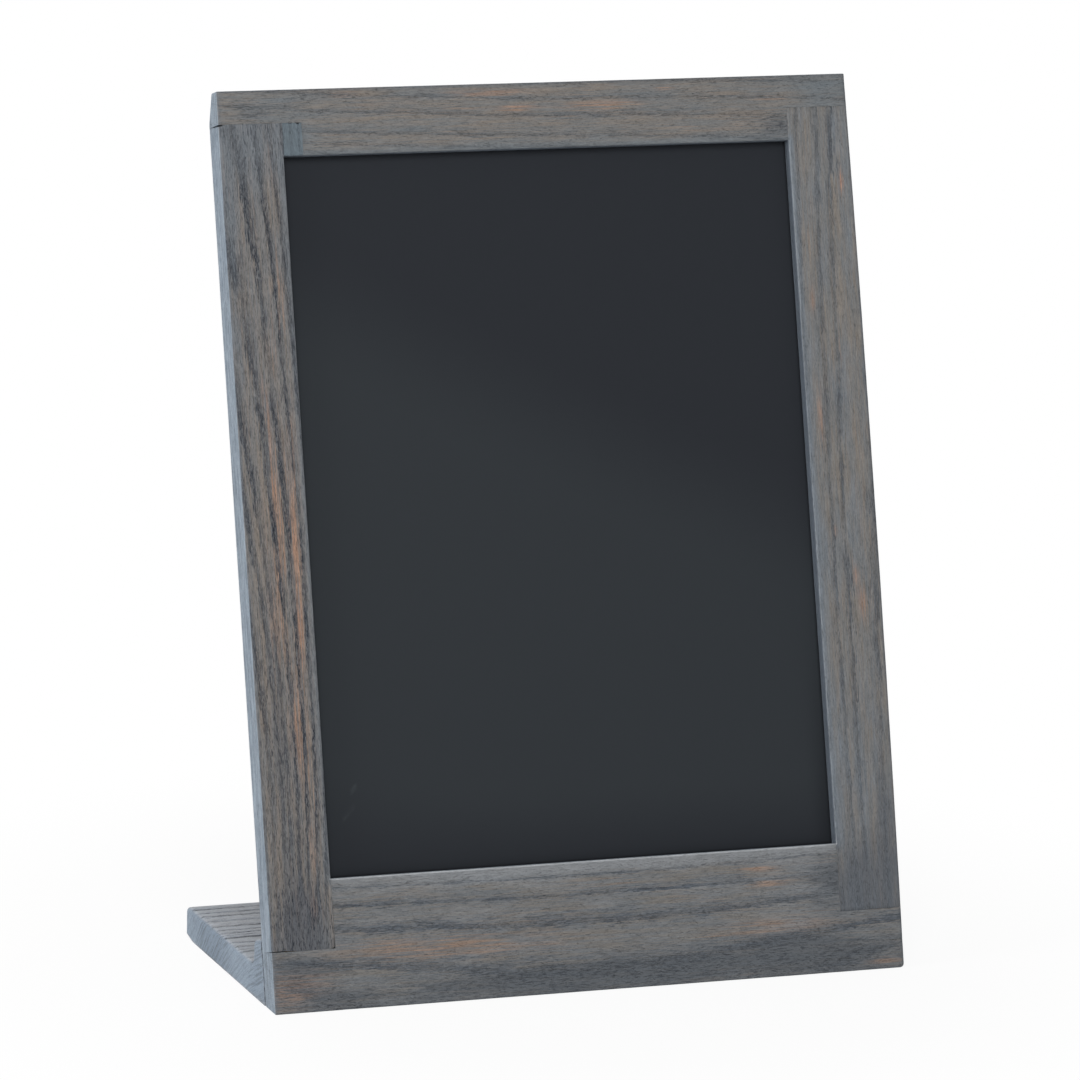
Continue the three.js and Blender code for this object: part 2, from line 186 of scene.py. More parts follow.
@dataclass(frozen=True)
class Unevenness:
    """Smooth seeded unevenness in three directions, between about -1 and 1.

    Attributes:
        seed: which of many unevennesses.
        pitch: how far apart its highs and lows lie along each axis, in mm.
        knots: how many of them there are along each axis before they repeat.
    """

    seed: int
    pitch: tuple[float, float, float]
    knots: int = 24

    def at(self, places: Array) -> Array:
        """The unevenness at each place.

        Args:
            places: an array whose last axis holds the three coordinates, in mm.

        Returns:
            One number for each place.
        """
        lattice = np.random.default_rng(self.seed).uniform(-1.0, 1.0, (self.knots,) * 3)
        scaled = places / np.array(self.pitch)
        whole = np.floor(scaled).astype(int)
        part = smooth(scaled - whole)
        total = np.zeros(places.shape[:-1])
        for corner in np.ndindex(2, 2, 2):
            knot = (whole + corner) % self.knots
            weight = np.prod(np.where(corner, part, 1.0 - part), axis=-1)
            total += weight * lattice[knot[..., 0], knot[..., 1], knot[..., 2]]
        return total


@dataclass(frozen=True)
class BoardPlace:
    """Where the leaning board stands. Its own axes are across, depth behind the face, and height up it.

    Attributes:
        lean: how far the face leans back from upright, in radians.
        front_foot: where the face would meet the table, along y in mm.
        middle: where the middle of the face stands, along x in mm.
    """

    lean: float
    front_foot: float
    middle: float

    def to_part(self, places: Array) -> Array:
        """Places on the board, in the part's axes.

        Args:
            places: across, depth and up along the last axis, in mm.

        Returns:
            x, y and z along the last axis, in mm.
        """
        across, depth, up = places[..., 0], places[..., 1], places[..., 2]
        y = self.front_foot + depth * math.cos(self.lean) + up * math.sin(self.lean)
        z = up * math.cos(self.lean) - depth * math.sin(self.lean)
        return stacked(across + self.middle, y, z)


@dataclass(frozen=True)
class Plate:
    """A board whose front and back are ruled sheets over the same cells, with walls all round.

    Attributes:
        front: the place of each crossing on the front, in mm.
        back: the place of the same crossing on the back.
        cells: which of the cells between the lines hold wood.
        wall_rows: how many rows of faces each wall has.
    """

    front: Array
    back: Array
    cells: Array
    wall_rows: int = 6

    def walls(self) -> Array:
        """The cell sides with nothing beyond them.

        Returns:
            One row for each: the two lines' numbers where it starts, and those where it ends.
        """
        filled = np.pad(self.cells, 1)
        i, j = np.nonzero(self.cells)
        sides = (
            (0, -1, (0, 0), (1, 0)),
            (1, 0, (1, 0), (1, 1)),
            (0, 1, (1, 1), (0, 1)),
            (-1, 0, (0, 1), (0, 0)),
        )
        found = []
        for beyond_i, beyond_j, start, end in sides:
            bare = ~filled[i + 1 + beyond_i, j + 1 + beyond_j]
            bi, bj = i[bare], j[bare]
            found.append(stacked(bi + start[0], bj + start[1], bi + end[0], bj + end[1]))
        return np.concatenate(found)

    def mesh_data(self) -> tuple[Array, Array]:
        """The plate's corners and faces.

        Returns:
            The places of the corners in mm, and the corners of each four-sided face.
        """
        i, j = np.nonzero(self.cells)
        used = np.zeros(self.front.shape[:2], bool)
        for di, dj in np.ndindex(2, 2):
            used[i + di, j + dj] = True
        count = int(used.sum())
        front_rank = np.full(used.shape, -1)
        front_rank[used] = np.arange(count)

        quads = stacked(*(front_rank[i + di, j + dj] for di, dj in ((0, 0), (1, 0), (1, 1), (0, 1))))
        walls = self.walls()
        rim = np.zeros(used.shape, bool)
        rim[walls[:, 0], walls[:, 1]] = True
        rim_count = int(rim.sum())
        rim_rank = np.full(used.shape, -1)
        rim_rank[rim] = np.arange(rim_count)

        places = [self.front[used], self.back[used]]
        for row in range(1, self.wall_rows):
            share = row / self.wall_rows
            places.append(self.front[rim] * (1.0 - share) + self.back[rim] * share)

        def ranks(row: int, at_i: Array, at_j: Array) -> Array:
            """The corners of one row of a wall.

            Args:
                row: the row, from 0 at the front.
                at_i: the number of each corner's first line.
                at_j: the number of its second line.

            Returns:
                Each corner's place in the list of them all.
            """
            if row == 0:
                return front_rank[at_i, at_j]
            if row == self.wall_rows:
                return front_rank[at_i, at_j] + count
            return 2 * count + (row - 1) * rim_count + rim_rank[at_i, at_j]

        faces = [quads, quads[:, ::-1] + count]
        start_i, start_j, end_i, end_j = walls.T
        for row in range(self.wall_rows):
            upper = (ranks(row, end_i, end_j), ranks(row, start_i, start_j))
            lower = (ranks(row + 1, start_i, start_j), ranks(row + 1, end_i, end_j))
            faces.append(stacked(*upper, *lower))
        return np.concatenate(places), np.concatenate(faces)


@dataclass(frozen=True)
class Ring:
    """One yearly ring, or the first of several like it.

    Attributes:
        start: how far from the pith line its open-pored wood starts, in mm.
        early: how thick its open-pored wood is, in mm.
        stain: how much stain that wood has taken, up to 1.
    """

    start: float
    early: float
    stain: float


@dataclass(frozen=True)
class GrowthRings:
    """The yearly rings of a piece of wood, round a pith line that runs roughly along it.

    Attributes:
        rings: the rings that show on the face, from the innermost.
        width: the width of every other ring, in mm.
        middle: where along the piece the pith line's middle lies, in mm.
        pith_across: the pith line's place across the piece there, its slope and its bend, per 100 mm.
        pith_depth: the same for its depth.
        wander: how far the rings stray from round, in mm.
        seed: which of many strayings.
        beyond: how many rings are drawn inside and outside the named ones.
        usual_stain: how much stain those have taken, up to 1.
        blur: how far the stain of a ring reaches past its open-pored wood, in mm.
    """

    rings: tuple[Ring, ...]
    width: float
    middle: float
    pith_across: tuple[float, float, float]
    pith_depth: tuple[float, float, float]
    wander: float = 0.5
    seed: int = 1
    beyond: int = 14
    usual_stain: float = 0.7
    blur: float = 0.2

    def radius(self, stock: Array, straying: float = 1.0) -> Array:
        """How far each place lies from the pith line.

        Args:
            stock: along, across and depth along the last axis, in mm.
            straying: how much of the rings' straying is counted, up to 1.

        Returns:
            One distance for each place, in mm.
        """
        run = (stock[..., 0] - self.middle) / 100.0
        pith = (self.pith_across, self.pith_depth)
        across, depth = (at + run * (slope + run * bend) for at, slope, bend in pith)
        stray = Unevenness(self.seed, (48.0, 12.0, 12.0)).at(stock)
        return np.hypot(stock[..., 1] - across, stock[..., 2] - depth) + self.wander * straying * stray

    def all_rings(self) -> list[Ring]:
        """The named rings, with others like the first and the last inside and outside them.

        Returns:
            The rings, from the innermost.
        """
        first, last = self.rings[0], self.rings[-1]
        steps = [self.width * i for i in range(1, self.beyond + 1)]
        inner = [Ring(first.start - step, first.early, self.usual_stain) for step in reversed(steps)]
        outer = [Ring(last.start + step, last.early, self.usual_stain) for step in steps]
        return inner + list(self.rings) + outer

    def count(self, stock: Array) -> Array:
        """Which ring each place lies in. Its open-pored wood takes up the first half of the fraction."""
        marks = [place for ring in self.all_rings() for place in (ring.start, ring.start + ring.early)]
        return np.interp(self.radius(stock), marks, np.arange(len(marks)) / 2.0)

    def stain(self, stock: Array) -> Array:
        """How much stain the open-pored wood has taken.

        Args:
            stock: along, across and depth along the last axis, in mm.

        Returns:
            One share for each place.
        """
        rings = self.all_rings()
        spans = [(ring.start - self.blur, ring.start + ring.early + self.blur) for ring in rings]
        return np.interp(self.radius(stock), np.ravel(spans), np.repeat([ring.stain for ring in rings], 2))


@dataclass(frozen=True)
class Patch:
    """A soft-edged place on a piece of wood.

    Attributes:
        along: its place along the piece, in mm.
        across: its place across the piece, in mm.
        length: how far it reaches along the grain, in mm.
        width: how far it reaches across it, in mm.
        strength: how much it shows in its middle. Over 1, its full part is wider.
    """

    along: float
    across: float
    length: float
    width: float
    strength: float

    def at(self, stock: Array) -> Array:
        """How much it shows at each place."""
        far = np.square((stock[..., :2] - (self.along, self.across)) / (self.length, self.width)).sum(axis=-1)
        return self.strength * np.exp(-1.5 * far)


def patched(patches: Sequence[Patch], stock: Array) -> Array:
    """How much all of several patches show at each place."""
    return np.clip(sum((patch.at(stock) for patch in patches), np.zeros(stock.shape[:-1])), 0.0, 1.0)


@dataclass(frozen=True)
class Stock:
    """What is known of the wood that one piece is cut from.

    Attributes:
        run: which way its grain runs.
        rings: its yearly rings.
        rubbed: where its stain is rubbed through to brown wood.
        pooled: where stain has pooled and dried dark.
        veiled: where a pale veil of stain lies on it.
        relief: how far the open-pored wood of each ring has sunk, in mm.
        ends: what the fine lines on its ends follow.
    """

    run: GrainRun
    rings: GrowthRings
    rubbed: tuple[Patch, ...] = ()
    pooled: tuple[Patch, ...] = ()
    veiled: tuple[Patch, ...] = ()
    relief: float = 0.07
    ends: EndGrain = EndGrain.FACE

    def axes(self, board: Array) -> Array:
        """Along, across and depth of places that are given as across, depth and up."""
        return board[..., [0, 2, 1] if self.run is GrainRun.ACROSS else [2, 0, 1]]

    def uneven(self, number: int, *pitch: float) -> Unevenness:
        """One of the unevennesses of this piece of wood."""
        return Unevenness(self.rings.seed + number, pitch)

    def sunk(self, stock: Array) -> Array:
        """How far the surface has sunk: open pores, and a plane's long waves.

        Args:
            stock: along, across and depth along the last axis, in mm.

        Returns:
            One depth for each place, in mm.
        """
        phase = np.mod(self.rings.count(stock), 1.0)
        pores = smooth(phase / 0.08) * smooth((0.55 - phase) / 0.3)
        grit = 0.5 + 0.5 * self.uneven(11, 3.0, 0.7, 0.7).at(stock)
        waves = 0.5 + 0.5 * self.uneven(12, 38.0, 16.0, 16.0).at(stock)
        return self.relief * (0.75 * pores * grit + 0.4 * waves)

    def layers(self, stock: Array) -> Array:
        """How far each place lies across the layers that show where the grain is cut square.

        Args:
            stock: along, across and depth along the last axis, in mm.

        Returns:
            One distance for each place, in mm.
        """
        if self.ends is EndGrain.RINGS:
            return self.rings.radius(stock, 0.25)
        return stock[..., 2] + 0.3 * self.uneven(13, 60.0, 18.0, 9.0).at(stock)

    def note_on(self, piece: Piece, stock: Array, face: Array) -> None:
        """Writes what the finish reads on a piece's corners, and sinks its pores.

        Args:
            piece: the piece.
            stock: its corners as along, across and depth, in mm.
            face: how fully each corner lies on a worn face, up to 1.
        """
        note(piece, "grain", stock)
        note(piece, "rings", self.rings.count(stock))
        note(piece, "layers", self.layers(stock))
        note(piece, "stain", self.rings.stain(stock))
        for name, patches in (("rubbed", self.rubbed), ("pooled", self.pooled), ("veiled", self.veiled)):
            note(piece, name, patched(patches, stock) * face)
        sink(piece, self.sunk(stock))


def smooth_faces(mesh: bpy.types.Mesh) -> None:
    """Shades a mesh smooth, with its faces parted at sharp edges."""
    mesh.shade_smooth()
    mesh.set_sharp_from_angle(angle=SHARP_ANGLE)


def make_piece(name: str, places: Array, faces: Array) -> Piece:
    """A named object in the part's axes.

    Args:
        name: the piece's name.
        places: its corners, in mm.
        faces: the corners of each face.

    Returns:
        The object, in the scene.
    """
    mesh = bpy.data.meshes.new(name)
    mesh.from_pydata((places * MM).tolist(), [], faces.tolist())
    mesh.validate()
    smooth_faces(mesh)
    piece = bpy.data.objects.new(name, mesh)
    bpy.context.scene.collection.objects.link(piece)
    return piece


def note(piece: Piece, name: str, values: Array) -> None:
    """Writes a number or a vector for each corner of a piece, which its finish reads.

    Args:
        piece: the piece.
        name: what the finish knows the values by.
        values: one number or one row of three for each corner.
    """
    kind, key = ("FLOAT_VECTOR", "vector") if values.ndim == 2 else ("FLOAT", "value")
    attribute = piece.data.attributes.new(name, kind, "POINT")
    attribute.data.foreach_set(key, values.astype(np.float32).ravel())


def read_rows(source: bpy.types.bpy_prop_collection, key: str) -> Array:
    """Reads a vector for each corner of a mesh.

    Args:
        source: the mesh's own list of them.
        key: what each is called there.

    Returns:
        One row of three numbers for each corner.
    """
    values = np.zeros(len(source) * 3)
    source.foreach_get(key, values)
    return values.reshape(-1, 3)


def corner_places(piece: Piece) -> Array:
    """The places of a piece's corners, in mm."""
    return read_rows(piece.data.vertices, "co") / MM


def corner_normals(piece: Piece) -> Array:
    """Which way a piece's surface faces at each corner."""
    return read_rows(piece.data.vertex_normals, "vector")


def sink(piece: Piece, amount: Array) -> None:
    """Presses the corners of a piece into its surface.

    Args:
        piece: the piece.
        amount: how far each corner goes, in mm.
    """
    moved = corner_places(piece) - corner_normals(piece) * amount[:, None]
    piece.data.vertices.foreach_set("co", (moved * MM).ravel())
    piece.data.update()


def dress(piece: Piece, finish: Material, slot: str, *stands_for: str) -> None:
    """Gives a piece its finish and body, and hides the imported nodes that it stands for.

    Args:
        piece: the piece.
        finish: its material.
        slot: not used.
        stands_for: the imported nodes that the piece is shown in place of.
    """
    piece.data.materials.clear()
    piece.data.materials.append(finish)
    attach(piece, BODY)
    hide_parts(*stands_for)
    log.info("%s: %d faces, stands for %s", piece.name, len(piece.data.polygons), ", ".join(stands_for))


class NodeBench:
    """Lays out and links the nodes of one material, or of the surround."""

    def __init__(self, tree: bpy.types.NodeTree) -> None:
        """Clears the tree that the nodes go in.

        Args:
            tree: the tree.
        """
        self.tree = tree
        self.attributes: dict[str, Socket] = {}
        self.tree.nodes.clear()

    def feed(self, socket: Socket, value: object) -> None:
        """Links a socket to another, or sets its number, vector or colour.

        Args:
            socket: the socket.
            value: the other socket, or what it is set to. None leaves it as it is.
        """
        if isinstance(value, Socket):
            self.tree.links.new(value, socket)
        elif value is not None:
            socket.default_value = value

    def add(self, kind: str, *values: object, **options: object) -> bpy.types.Node:
        """Sets out a new node.

        Args:
            kind: the shader node's kind, as Blender names it.
            values: what its first inputs are fed, in order.
            options: its options, as Blender names them.

        Returns:
            The node.
        """
        node = self.tree.nodes.new("ShaderNode" + kind)
        for name, option in options.items():
            setattr(node, name, option)
        for socket, value in zip(node.inputs, values):
            self.feed(socket, value)
        return node

    def attribute(self, name: str, vector: bool = False) -> Socket:
        """What was noted on the piece's corners.

        Args:
            name: what it was noted as.
            vector: that it is a vector, and not a number.

        Returns:
            The number or vector.
        """
        if name not in self.attributes:
            node = self.add("Attribute", attribute_name=name)
            self.attributes[name] = node.outputs["Vector" if vector else "Fac"]
        return self.attributes[name]

    def own_place(self, turn: tuple[float, float, float] = (0.0, 0.0, 0.0)) -> Socket:
        """The place on the part in metres, turned about the part's axes by angles in radians."""
        place = self.add("TexCoord").outputs["Object"]
        return self.add("Mapping", place, None, turn).outputs["Vector"]

    def maths(self, operation: str, *values: object, clamp: bool = False) -> Socket:
        """The result of an arithmetic operation, by Blender's name, which may be held between 0 and 1."""
        return self.add("Math", *values, operation=operation, use_clamp=clamp).outputs[0]

    def times(self, first: object, second: object, clamp: bool = False) -> Socket:
        """The product of two numbers."""
        return self.maths("MULTIPLY", first, second, clamp=clamp)

    def weighed(self, value: object, weight: object, base: object, clamp: bool = False) -> Socket:
        """A value times its weight, and the base that it is added to."""
        return self.maths("MULTIPLY_ADD", value, weight, base, clamp=clamp)

    def swayed(self, value: object, noise: Socket, reach: object) -> Socket:
        """A value moved up and down by a noise, over a reach."""
        return self.weighed(self.maths("SUBTRACT", noise, 0.5), reach, value)

    def vector_maths(self, operation: str, *values: object) -> Socket:
        """The result of an operation on vectors, by Blender's name. A factor is the fourth value."""
        return self.add("VectorMath", *values, operation=operation).outputs[0]

    def stretch(self, vector: Socket, pitch: Sequence[float], shift: float = 0.0) -> Socket:
        """A place divided by a pitch along each axis, and shifted so that patterns differ."""
        moved = [shift, shift * 0.7, shift * 1.3]
        return self.vector_maths("MULTIPLY_ADD", vector, [1.0 / step for step in pitch], moved)

    def noise(
        self, vector: Socket, detail: float = 2.0, roughness: float = 0.5, distortion: float = 0.0
    ) -> Socket:
        """Cloudy noise, with one cloud about each unit.

        Args:
            vector: the place that it is read at.
            detail: how many finer layers it has.
            roughness: how much they show, up to 1.
            distortion: how far its clouds are drawn out of shape.

        Returns:
            The noise, from 0 to 1.
        """
        node = self.add("TexNoise", vector)
        settings = {"Scale": 1.0, "Detail": detail, "Roughness": roughness, "Distortion": distortion}
        for name, value in settings.items():
            node.inputs[name].default_value = value
        return node.outputs["Fac"]

    def remap(
        self, value: object, low: float, high: float, to_low: float = 0.0, to_high: float = 1.0,
        soft: bool = True,
    ) -> Socket:
        """A value moved from one range to another, and held at its ends.

        Args:
            value: the value.
            low: where the first range starts.
            high: where it ends.
            to_low: where the second range starts.
            to_high: where it ends.
            soft: that it leaves and reaches the ends gently.

        Returns:
            The moved value.
        """
        kind = "SMOOTHSTEP" if soft else "LINEAR"
        node = self.add("MapRange", value, low, high, to_low, to_high, interpolation_type=kind, clamp=True)
        return node.outputs[0]

    def between(self, share: object, first: object, second: object) -> Socket:
        """A number part of the way from one to another."""
        return self.add("Mix", share, None, first, second).outputs[0]

    def blend(self, share: object, first: object, second: object) -> Socket:
        """Two colours mixed.

        Args:
            share: how much of the second there is.
            first: the first colour.
            second: the second colour.

        Returns:
            The mixed colour.
        """
        node = self.add("Mix", data_type="RGBA")
        for number, value in ((0, share), (6, first), (7, second)):
            self.feed(node.inputs[number], value)
        return node.outputs[2]

    def coat(
        self, tone: Socket, paint: object, share: Socket, low: float, high: float, most: float
    ) -> Socket:
        """A colour under a thin coat, which starts to show at the share low and shows most from high."""
        return self.blend(self.remap(share, low, high, 0.0, most), tone, paint)


class FinishBench(NodeBench):
    """Lays out the nodes of one finish, in front of one surface shader."""

    def __init__(self, name: str) -> None:
        """Starts the material.

        Args:
            name: the material's name.
        """
        self.material = bpy.data.materials.new(name)
        self.material.use_nodes = True
        super().__init__(self.material.node_tree)
        self.shader = self.add("BsdfPrincipled")
        self.add("OutputMaterial", self.shader.outputs["BSDF"])

    def surface(self, tone: Socket, rough: Socket, gloss: float = 0.5, metal: float = 0.0) -> None:
        """Gives the surface its colour and its sheen.

        Args:
            tone: its colour.
            rough: how dull it is, up to 1.
            gloss: how strong its reflections are, with 0.5 for most materials.
            metal: how far it is a metal, up to 1.
        """
        self.feed(self.shader.inputs["Base Color"], tone)
        self.feed(self.shader.inputs["Roughness"], rough)
        self.shader.inputs["Specular IOR Level"].default_value = gloss
        self.shader.inputs["Metallic"].default_value = metal

    def bump(self, height: Socket, distance: float, strength: float) -> None:
        """Raises the surface.

        Args:
            height: how many units it is raised.
            distance: how far one unit raises it, in metres.
            strength: how much of that shows, up to 1.
        """
        node = self.add("Bump", strength, distance)
        self.feed(node.inputs["Height"], height)
        self.feed(self.shader.inputs["Normal"], node.outputs["Normal"])


def linear(channel: int) -> float:
    """One channel of a screen colour, without the screen's curve."""
    share = channel / 255.0
    return share / 12.92 if share <= 0.04045 else ((share + 0.055) / 1.055) ** 2.4


def colour(red: int, green: int, blue: int) -> Colour:
    """A colour as it is seen on a screen, from 0 to 255, as Blender's linear colour."""
    return (linear(red), linear(green), linear(blue), 1.0)


@dataclass(frozen=True)
class StainedWood:
    """Grey stain over ring-porous wood, rubbed back along the grain.

    Attributes:
        name: the material's name.
        late: the stained dense wood of each ring.
        brown: the same wood where less stain has stayed.
        bare: wood that is rubbed through.
        glow: the thin threads of bare wood that are rubbed brightest.
        early: the soft wash of stain over the open-pored wood of each ring.
        pore: stain that has dried in the open pores.
        pool: stain that has dried dark.
        veil: a pale veil of stain.
        rim: painted shade along the frame's outer arrises.
        wall: stain on the edges and ends themselves.
        wall_streak: the darker streaks in it.
        inner: painted shade on the walls of the opening.
        arris_highlight: a painted highlight on the arrises along the opening, most where they face up in the
            lower half.
        shift: moves the pattern, so that no two pieces match.
        band: how dark the open-pored bands are, up to 1.
        brownness: how much of the dense wood is brown, up to 1.
        bareness: how much of the piece is rubbed through without being named, up to 1.
        haze: how much of the piece is veiled without being named, up to 1.
        fibre: how far the fibres differ in tone.
        grit: how far the tone differs within a fibre.
        flecks: how many pores show outside the bands, up to 1.
        pool_flecks: how many more show where stain has pooled.
        wash: how far the bands' soft wash covers the wood, up to 1.
        dash: how dark the pores in the bands are, up to 1.
        end_bands: how much of the bands is left where the grain is cut square, up to 1.
        stroke: how dark the short strokes are there, up to 1.
        pool_stroke: how much darker they are where stain has pooled.
        stroke_pitch: how far apart those strokes lie, in mm.
        thread: how wide the threads are that are rubbed through, in mm.
    """

    name: str
    late: Colour = colour(107, 111, 113)
    brown: Colour = colour(125, 115, 102)
    bare: Colour = colour(150, 122, 104)
    glow: Colour = colour(180, 133, 107)
    early: Colour = colour(84, 91, 100)
    pore: Colour = colour(50, 56, 65)
    pool: Colour = colour(77, 82, 89)
    veil: Colour = colour(108, 117, 126)
    rim: Colour = colour(92, 97, 103)
    wall: Colour = colour(138, 151, 164)
    wall_streak: Colour = colour(106, 120, 134)
    inner: Colour = colour(84, 91, 100)
    arris_highlight: Colour = colour(172, 176, 180)
    shift: float = 0.0
    band: float = 0.9
    brownness: float = 0.38
    bareness: float = 0.2
    haze: float = 0.3
    fibre: float = 0.9
    grit: float = 0.5
    flecks: float = 0.35
    pool_flecks: float = 0.9
    wash: float = 0.62
    dash: float = 1.0
    end_bands: float = 0.5
    stroke: float = 0.36
    pool_stroke: float = 0.36
    stroke_pitch: float = 0.6
    thread: float = 0.5

    def material(self) -> Material:
        """Lays out the finish, and gives it as a material."""
        return WoodBench(self).finish()


class WoodBench(FinishBench):
    """Lays out the nodes of stained wood."""

    def __init__(self, wood: StainedWood) -> None:
        """Starts the material of one wood."""
        super().__init__(wood.name)
        self.wood = wood

    def cloud(self, figure: Figure, scale: float = 1.0) -> Socket:
        """One of the wood's noises, drawn out along the grain.

        Args:
            figure: which noise.
            scale: how many times larger its clouds are.

        Returns:
            The noise, from 0 to 1.
        """
        along, across, number, detail = figure.value
        pitch = (along * scale, across * scale, across * scale)
        place = self.stretch(self.attribute("grain", vector=True), pitch, self.wood.shift + 7.0 * number)
        return self.noise(place, detail, 0.6)

    def porous(self) -> Socket:
        """How fully each place lies in the open-pored wood of a ring, with feathered edges.

        Returns:
            The share.
        """
        strayed = self.swayed(self.attribute("rings"), self.cloud(Figure.RING_STRAYING), 0.35)
        strayed = self.swayed(strayed, self.cloud(Figure.RING_FEATHERS), 0.95)
        phase = self.maths("FRACT", strayed)
        return self.times(self.remap(phase, 0.0, 0.16), self.remap(phase, 0.72, 0.2))

    def washed(self, porous: Socket) -> Socket:
        """How far the soft wash of the open-pored wood shows.

        Args:
            porous: how fully each place lies in that wood.

        Returns:
            The share.
        """
        patch = self.remap(self.cloud(Figure.WASH_PATCHES), 0.3, 0.62, 0.4, 1.1)
        left = self.remap(self.attribute("end_grain"), 0.0, 1.0, 1.0, self.wood.end_bands)
        left = self.weighed(self.attribute("pooled"), -0.8, left)
        left = self.weighed(self.attribute("veiled"), -0.65, left, clamp=True)
        taken = self.times(self.attribute("stain"), self.times(patch, left))
        return self.times(porous, self.times(taken, self.wood.band), clamp=True)

    def dashes(self, washed: Socket) -> Socket:
        """How far dark pores show: many dashes in the bands, and fewer where stain has pooled.

        Args:
            washed: how far the bands' wash shows.

        Returns:
            The share.
        """
        short = self.remap(self.cloud(Figure.SHORT_PORES), 0.5, 0.57)
        long = self.remap(self.cloud(Figure.LONG_PORES), 0.51, 0.6, 0.0, 0.9)
        crowded = self.times(self.times(self.maths("MAXIMUM", short, long), washed), self.wood.dash)
        room = self.weighed(self.attribute("pooled"), self.wood.pool_flecks, self.wood.flecks)
        strewn = self.times(self.remap(self.cloud(Figure.STREWN_PORES), 0.56, 0.63), room)
        return self.maths("MAXIMUM", crowded, self.times(strewn, 0.8))

    def pits(self, porous: Socket) -> Socket:
        """The smallest open pores: many in the open-pored wood, and a few elsewhere."""
        open_here = self.weighed(porous, 0.1, self.cloud(Figure.PITS))
        return self.remap(open_here, 0.64, 0.74)

    def bare_share(self, threads: Socket, porous: Socket) -> Socket:
        """How far the stain is rubbed through, in thin threads between the bands.

        Args:
            threads: the noise that the threads follow.
            porous: how fully each place lies in open-pored wood.

        Returns:
            The share.
        """
        named = self.times(self.attribute("rubbed"), self.remap(threads, 0.36, 0.6, 0.3, 1.3))
        clouds = self.remap(self.cloud(Figure.BARE_CLOUDS), 0.42, 0.7, 0.0, self.wood.bareness * 2.0)
        unnamed = self.times(clouds, self.remap(threads, 0.48, 0.66))
        worn = self.times(self.maths("ADD", named, unnamed), self.weighed(porous, -0.45, 1.0))
        return self.times(worn, self.remap(self.attribute("margin"), 0.1, 0.8, 1.0, 0.15), clamp=True)

    def dense(self, porous: Socket) -> Socket:
        """The colour of the dense wood, with what is rubbed through.

        Args:
            porous: how fully each place lies in open-pored wood.

        Returns:
            The colour.
        """
        threads = self.cloud(Figure.THREADS, self.wood.thread)
        brown = self.weighed(self.cloud(Figure.BROWNING), 0.8, self.times(threads, 1.2))
        share = self.remap(brown, 0.85, 1.2, self.wood.brownness * 0.4, self.wood.brownness * 1.6)
        tone = self.blend(share, self.wood.late, self.wood.brown)
        bare = self.bare_share(threads, porous)
        tone = self.coat(tone, self.wood.bare, bare, 0.0, 0.75, 0.95)
        return self.coat(tone, self.wood.glow, bare, 0.6, 1.2, 0.8)

    def stained(self, porous: Socket, dashes: Socket, washed: Socket) -> Socket:
        """The wood's colour before its fibres: dense wood under veils, pools, bands, pores, and painted
        highlight and shade.

        Args:
            porous: how fully each place lies in open-pored wood.
            dashes: how far dark pores show.
            washed: how far the bands' wash shows.

        Returns:
            The colour.
        """
        mark = self.attribute
        tone = self.dense(porous)
        veiled = self.maths("ADD", mark("veiled"), self.wood.haze)
        veiled = self.swayed(veiled, self.cloud(Figure.VEIL_DRIFT), 1.9)
        tone = self.coat(tone, self.wood.veil, veiled, 0.0, 1.1, 0.9)
        tone = self.coat(tone, self.wood.veil, mark("margin"), 0.05, 0.95, 0.75)
        pooled = self.swayed(mark("pooled"), self.cloud(Figure.POOL_EDGES), 1.1)
        tone = self.coat(tone, self.wood.pool, pooled, 0.1, 1.0, 0.8)
        tone = self.blend(self.times(washed, self.wood.wash), tone, self.wood.early)
        # Painted shade along the frame's outer arrises.
        tone = self.coat(tone, self.wood.rim, mark("outline"), 0.1, 1.0, 0.75)
        tone = self.blend(dashes, tone, self.wood.pore)
        # Painted highlight on the arrises along the opening, in a pale colour.
        tone = self.coat(tone, self.wood.arris_highlight, mark("arris_lit"), 0.1, 0.8, 0.8)
        tone = self.coat(tone, self.walls(), mark("wall"), 0.4, 1.0, 0.85)
        # Painted shade on the walls of the opening.
        return self.blend(self.times(mark("inner"), 0.9), tone, self.wood.inner)

    def walls(self) -> Socket:
        """The colour of the edges and ends: thin stain, with darker streaks.

        Returns:
            The colour.
        """
        clouds = self.cloud(Figure.WALL_CLOUDS)
        streaks = self.swayed(self.cloud(Figure.WALL_STREAKS), clouds, 0.5)
        streaks = self.weighed(self.attribute("pooled"), 0.3, streaks)
        share = self.remap(streaks, 0.42, 0.72, 0.0, 0.85)
        share = self.times(share, self.weighed(self.attribute("end_grain"), -0.5, 1.0))
        return self.blend(share, self.wood.wall, self.wood.wall_streak)

    def strokes(self) -> Socket:
        """Short dark strokes along the layers, where the grain is cut square.

        Returns:
            How dark they are.
        """
        layer = self.maths("DIVIDE", self.attribute("layers"), self.wood.stroke_pitch)
        along = self.stretch(self.attribute("grain", vector=True), (1e4, 40.0, 12.0), self.wood.shift)
        place = self.vector_maths("ADD", along, self.add("CombineXYZ", layer).outputs[0])
        lines = self.remap(self.noise(place, 2.0, 0.65), 0.48, 0.6)
        dark = self.weighed(self.attribute("pooled"), self.wood.pool_stroke, self.wood.stroke)
        return self.times(self.times(lines, dark), self.attribute("end_grain"))

    def finish(self) -> Material:
        """Lays out the finish.

        Returns:
            The material.
        """
        porous = self.porous()
        washed = self.washed(porous)
        dashes = self.dashes(washed)
        pits = self.pits(porous)
        fine = self.cloud(Figure.FINE_FIBRES)

